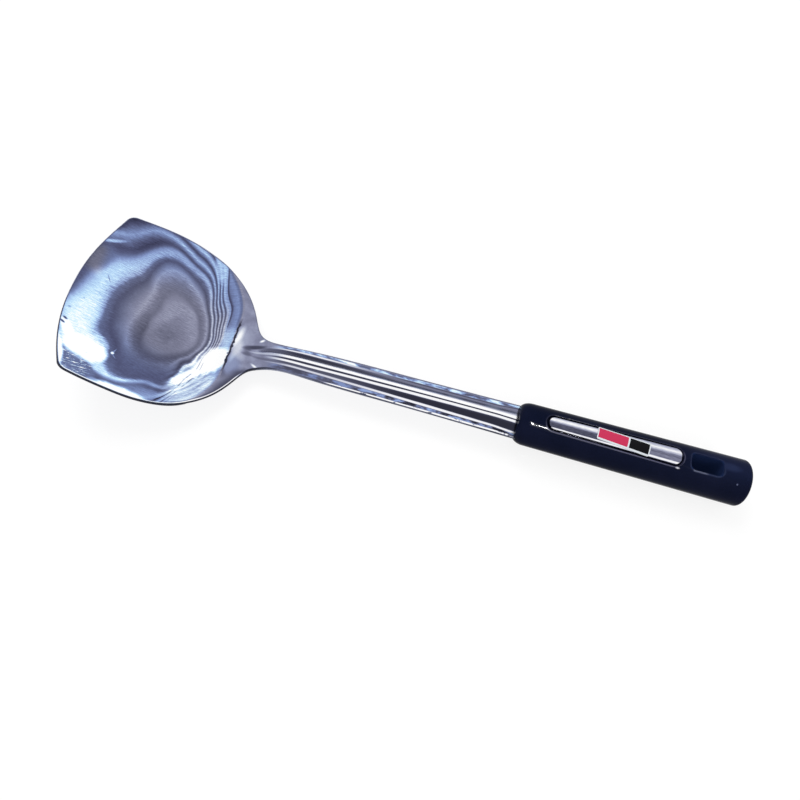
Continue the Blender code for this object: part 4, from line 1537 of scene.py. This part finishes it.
hole_centre = 1000 * (LENGTH - HOLE_REAR_PLACE - HOLE_LENGTH / 2)
hole_sizes = (500 * HOLE_LENGTH, 1000 * HOLE_HALF_WIDTH, 1000 * HOLE_CORNER)
hole_gap = rounded_gap(plastic, place - hole_centre, across, *hole_sizes)
slot_rear = 1000 * (LENGTH - SLOT_REAR_PLACE)
slot_front = 1000 * (LENGTH - SLOT_FRONT_PLACE)
slot_run = (place - slot_front) / (slot_rear - slot_front)
slot_half = slot_run * (1000 * (SLOT_REAR_HALF_WIDTH - SLOT_FRONT_HALF_WIDTH)) + 1000 * SLOT_FRONT_HALF_WIDTH
along_slot = place - (slot_front + slot_rear) / 2
slot_gap = rounded_gap(plastic, along_slot, across, (slot_rear - slot_front) / 2, slot_half, slot_half)

near = plastic.fade(across, -4.5, 0.0)
on_top = plastic.smooth(height, TOP_STARTS_MM, TOP_FULL_MM)
hole_lip = plastic.window(hole_gap, 0.1, 0.5, 0.7, 1.4) * on_top
slot_lip = plastic.window(slot_gap, 0.0, 0.35, 0.5, 1.0) * on_top
# Painted highlights on the lips
colour = plastic.mix(hole_lip * (0.25 + near * 0.25), colour, HOLE_LIP_BLUE)
double_lip = plastic.window(place, 322.5, 323.5, 329.0, 331.5) * near * hole_lip
colour = plastic.mix(double_lip * 0.35, colour, DOUBLE_LIP_GREY)
round_end = plastic.largest(near, plastic.smooth(place, 313.0, 316.5) * 0.5)
colour = plastic.mix(slot_lip * (0.12 + round_end * 0.6), colour, SLOT_LIP_GREY)
print("middle of the hole, back from the tip in mm:", round(hole_centre, 2))

# %% [markdown]
# A few small painted glints and one faint painted sheen finish the top. The plastic is very smooth, with a faint
# unevenness from the mould and slightly duller strokes where hands have rubbed it. Its index of refraction is set
# low, because the white room would otherwise wash out the deep colour.

# %% Glints, gloss and fine relief

PLASTIC_IOR = 1.07
MOULD_DEPTH = 0.00005
GLINT_SOFTNESS = 5 / 9
# Painted glints and one painted sheen: centre, half sizes and colour
GLINTS = (
    ((315.0, -5.75), (0.9, 0.36), (0.66, 0.66, 0.75)),
    ((346.0, -6.0), (0.405, 0.405), (0.12, 0.14, 0.24)),
    ((341.5, 1.8), (4.95, 1.98), (0.018, 0.026, 0.07)),
)
for centre, half_sizes, glint in GLINTS:
    share = oval(plastic, plastic.join(place, across), centre, half_sizes, 0, GLINT_SOFTNESS) * on_top
    colour = plastic.mix(share, colour, glint)
rub = plastic.smooth(plastic.noise(plastic.join(place * 0.15, across * 1.5, height * 1.5), 1.0, 4.0), 0.45, 0.8)
plastic.set(base_color=colour, roughness=0.07 + rub * 0.1 + slot_lip * 0.5, ior=PLASTIC_IOR)
plastic.bump(plastic.noise(spot, 0.3, 2.0), 0.1, MOULD_DEPTH)
grip.data.materials.append(plastic.material)
print("nodes in the plastic's finish:", len(plastic.tree.nodes))

# %% [markdown]
# The walls of the hole are in deep shade and hardly shine, while the white room would still light them here. So they
# get a finish of their own, with no shine and a trace of glow, and the faces are picked by where they lie.

# %% Shaded walls of the hole

HOLE_MARGIN = 0.0001

hole_plastic = Finish("shaded_hole_plastic")
hole_cloud = hole_plastic.noise(hole_plastic.join(*hole_plastic.position()), 0.4, 2.0)
hole_plastic.set(
    base_color=hole_plastic.mix(hole_cloud, (0.006, 0.012, 0.042), (0.013, 0.023, 0.07)),
    roughness=0.6,
    specular_ior_level=0.0,
    emission_color=(0.002, 0.0038, 0.012),
    emission_strength=1.0,
)
grip.data.materials.append(hole_plastic.material)
hole_middle = Vector((REAR_X - HOLE_REAR_PLACE - HOLE_LENGTH / 2, 0.0))
in_hole = 0
for face in grip.data.polygons:
    away = Vector(face.center[:2]) - hole_middle
    if abs(away.x) < HOLE_LENGTH / 2 + HOLE_MARGIN and abs(away.y) < HOLE_HALF_WIDTH + HOLE_MARGIN:
        face.material_index = 1
        in_hole += 1
print("faces in the hole:", in_hole)

# %% [markdown]
# ## Metal strip and label
#
# A domed strip of satin steel lies in the slot, just proud of the plastic. A real one could be stamped from thin
# sheet and pressed in. Here it is lofted: from its flat seat up the side, over a small rolled edge, and inward over
# the dome in rings that shrink towards the strip's middle line.

# %% Shape of the strip

INLAY_END_GAP = 0.0012
INLAY_SIDE_GAP = 0.0009
INLAY_PROUD = 0.0002
INLAY_DOME = 0.0009
INLAY_BEVEL = 0.00025
INLAY_BEVEL_STEPS = 4
INLAY_DOME_STEPS = 10


def inlay_half_width(x):
    share = (REAR_X - SLOT_REAR_PLACE - x) / (SLOT_FRONT_PLACE - SLOT_REAR_PLACE)
    return blend(SLOT_REAR_HALF_WIDTH, SLOT_FRONT_HALF_WIDTH, share) - INLAY_SIDE_GAP


def inlay_height(x, y):
    return top_line(x) + INLAY_PROUD - INLAY_DOME * (y / inlay_half_width(x)) ** 2


inlay_rear = REAR_X - SLOT_REAR_PLACE - INLAY_END_GAP
inlay_front = REAR_X - SLOT_FRONT_PLACE + INLAY_END_GAP
inlay_wide = inlay_half_width(inlay_rear)
inlay_narrow = inlay_half_width(inlay_front)
inlay_edge = rounded_outline(inlay_rear, inlay_front, inlay_wide, inlay_narrow, inlay_narrow)


def inlay_loop(inset, lift):
    """The strip's outline drawn in towards its middle line, on the dome or a little below it."""
    loop = []
    for x, y in inlay_edge:
        spine = min(max(x, inlay_front + inlay_narrow), inlay_rear - inlay_wide)
        inner_x = blend(x, spine, inset)
        inner_y = blend(y, 0.0, inset)
        loop.append((inner_x, inner_y, inlay_height(inner_x, inner_y) + lift))
    return loop


inlay_loops = [[(x, y, top_line(x) - SLOT_DEPTH + FIT_GAP) for x, y in inlay_edge], inlay_loop(0.0, -INLAY_BEVEL)]
for i in range(1, INLAY_BEVEL_STEPS + 1):
    angle = QUARTER_TURN * i / INLAY_BEVEL_STEPS
    inset = INLAY_BEVEL * (1 - math.cos(angle)) / inlay_wide
    inlay_loops.append(inlay_loop(inset, -INLAY_BEVEL * (1 - math.sin(angle))))
inlay_loops += [inlay_loop(i / INLAY_DOME_STEPS, 0.0) for i in range(1, INLAY_DOME_STEPS)]
strip = lofted("satin_strip", inlay_loops)
shade_smooth(strip.data, EDGE_SHARP_DEGREES)
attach(strip, "root")
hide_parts("handle_inlay")
print("strip length in mm:", round(1000 * (inlay_rear - inlay_front), 1))

# %% [markdown]
# The dome mirrors the room as stripes along the strip, painted here into its colour: a narrow bright one on the near
# side, then a dark one, then a wide bright one. They are tones over the share of the strip's half width, with a soft
# change from front to rear.

# %% Finish of the strip

# Tones of the painted reflections, by share of the half width
FRONT_STRIPES = (
    (-1.0, 0.55), (-0.96, 0.9), (-0.88, 1.0), (-0.80, 0.9), (-0.76, 0.30), (-0.4, 0.30), (-0.08, 0.33),
    (0.12, 0.62), (0.3, 0.88), (0.55, 0.98), (0.8, 0.8), (1.0, 0.5),
)
REAR_STRIPES = (
    (-1.0, 0.55), (-0.96, 0.9), (-0.88, 1.0), (-0.78, 0.95), (-0.70, 0.46), (-0.4, 0.50), (-0.2, 0.40),
    (0.0, 0.48), (0.2, 0.72), (0.45, 0.96), (0.8, 0.72), (1.0, 0.5),
)
SATIN_DEPTH = 0.00003
STRIP_WIDENING = (SLOT_REAR_HALF_WIDTH - SLOT_FRONT_HALF_WIDTH) / (SLOT_FRONT_PLACE - SLOT_REAR_PLACE)

satin = Finish("satin_strip_steel")
place, across = satin.position()[:2]
grain = satin.noise(satin.join(place * 0.3, across * 2.5), 1.0, 4.0, 0.6)
half_width = (place - slot_front) * STRIP_WIDENING + 1000 * (SLOT_FRONT_HALF_WIDTH - INLAY_SIDE_GAP)
side = across / half_width
rearward = satin.smooth(place, 270.0, 300.0)
tone = toward(curve(satin, side, FRONT_STRIPES), curve(satin, side, REAR_STRIPES), rearward)
tone = tone + (grain - 0.5) * 0.45
satin.set(base_color=satin.ramp(tone, GREY_STEEL), metallic=1.0, roughness=0.26 + grain * 0.12)
satin.bump(grain, 0.2, SATIN_DEPTH)
strip.data.materials.append(satin.material)
print("nodes in the strip's finish:", len(satin.tree.nodes))

# %% [markdown]
# A small film label is stuck on the strip a few degrees askew. It is laid on the dome point by point, so that it
# follows it without a gap, and a Solidify modifier gives it the thickness of a film. Its corners are rounded, as a
# die cuts them so that they don't peel.

# %% Shape of the label

LABEL_LENGTH = 0.0275
LABEL_WIDTH = 0.00685
LABEL_THICKNESS = 0.0002
LABEL_GAP = 0.0001
LABEL_CENTRE_PLACE = 0.0692
LABEL_CORNER = 0.0008
LABEL_CORNER_STEPS = 6
LABEL_TURN = math.radians(-4.5)
LABEL_STEPS = 24

corner_angles = [QUARTER_TURN * i / LABEL_CORNER_STEPS for i in range(LABEL_CORNER_STEPS + 1)]
end_shares = [LABEL_CORNER / LABEL_LENGTH * (1 - math.cos(angle)) for angle in corner_angles]
middle_shares = [i / LABEL_STEPS for i in range(1, LABEL_STEPS)]
along_shares = end_shares + middle_shares + [1 - share for share in end_shares[::-1]]
label_centre = Vector((REAR_X - LABEL_CENTRE_PLACE, 0.0, 0.0))
label_turn = Matrix.Rotation(LABEL_TURN, 3, "Z")
label_points = []
for along in along_shares:
    behind_end = min(min(along, 1 - along) * LABEL_LENGTH, LABEL_CORNER)
    corner = LABEL_CORNER - math.sqrt(LABEL_CORNER**2 - (LABEL_CORNER - behind_end) ** 2)
    for column in range(LABEL_STEPS + 1):
        side = (2 * column / LABEL_STEPS - 1) * (LABEL_WIDTH / 2 - corner)
        point = label_centre + label_turn @ Vector(((along - 0.5) * LABEL_LENGTH, side, 0.0))
        point.z = inlay_height(point.x, point.y) + LABEL_GAP
        label_points.append(point)
label_faces = grid_faces(len(along_shares), LABEL_STEPS + 1)
label = new_object("blank_label", label_points, label_faces)
label.data.polygons.foreach_set("use_smooth", [True] * len(label_faces))
film = label.modifiers.new("Film", "SOLIDIFY")
film.thickness = LABEL_THICKNESS
film.offset = 1.0
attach(label, "root")
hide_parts("inlay_label")
print("label faces:", len(label_faces))

# %% [markdown]
# The film has a white border, a red field and a black field with a thin white line between them, all left blank.
# The fields are worked out from where a point lies on the label itself, which is turned back straight first.

# %% Finish of the label

END_BORDER = 0.55
SIDE_BORDER = 0.7
FIELDS_SHIFT = 0.22
FIELD_DIVIDE = 2.6
DIVIDER_HALF_WIDTH = 0.4
FILM_IOR = 1.15
LABEL_RED = (0.62, 0.04, 0.11)
LABEL_BLACK = (0.004, 0.004, 0.006)
LABEL_WHITE = (0.78, 0.83, 0.88)
FIBRE_PINK = (0.8, 0.75, 0.75)

print_film = Finish("two_tone_label_film")
place, across = print_film.position()[:2]
spot = print_film.join(place, across)
straight = turned(print_film, spot, (1000 * (LENGTH - LABEL_CENTRE_PLACE), 0.0), LABEL_TURN)
along, side = print_film.split(straight)[:2]
from_middle = print_film.math("ABSOLUTE", along)
from_line = print_film.math("ABSOLUTE", side - FIELDS_SHIFT)
inside = print_film.math("LESS_THAN", from_middle, 500 * LABEL_LENGTH - END_BORDER)
inside = inside * print_film.math("LESS_THAN", from_line, 500 * LABEL_WIDTH - SIDE_BORDER)
inside = inside * (1 - print_film.math("COMPARE", along, FIELD_DIVIDE, DIVIDER_HALF_WIDTH))
fibre = print_film.noise(spot, 1.5, 3.0)
fields = print_film.mix(print_film.math("GREATER_THAN", along, FIELD_DIVIDE), LABEL_RED, LABEL_BLACK)
fields = print_film.mix(fibre * 0.004, fields, FIBRE_PINK)
print_film.set(base_color=print_film.mix(inside, LABEL_WHITE, fields), roughness=0.38 + fibre * 0.1, ior=FILM_IOR)
label.data.materials.append(print_film.material)
print("nodes in the label's finish:", len(print_film.tree.nodes))

# %% [markdown]
# ## View settings and the end
#
# The Standard view shows colours as they were mixed.

# %% View settings and the end

bpy.context.scene.view_settings.view_transform = "Standard"
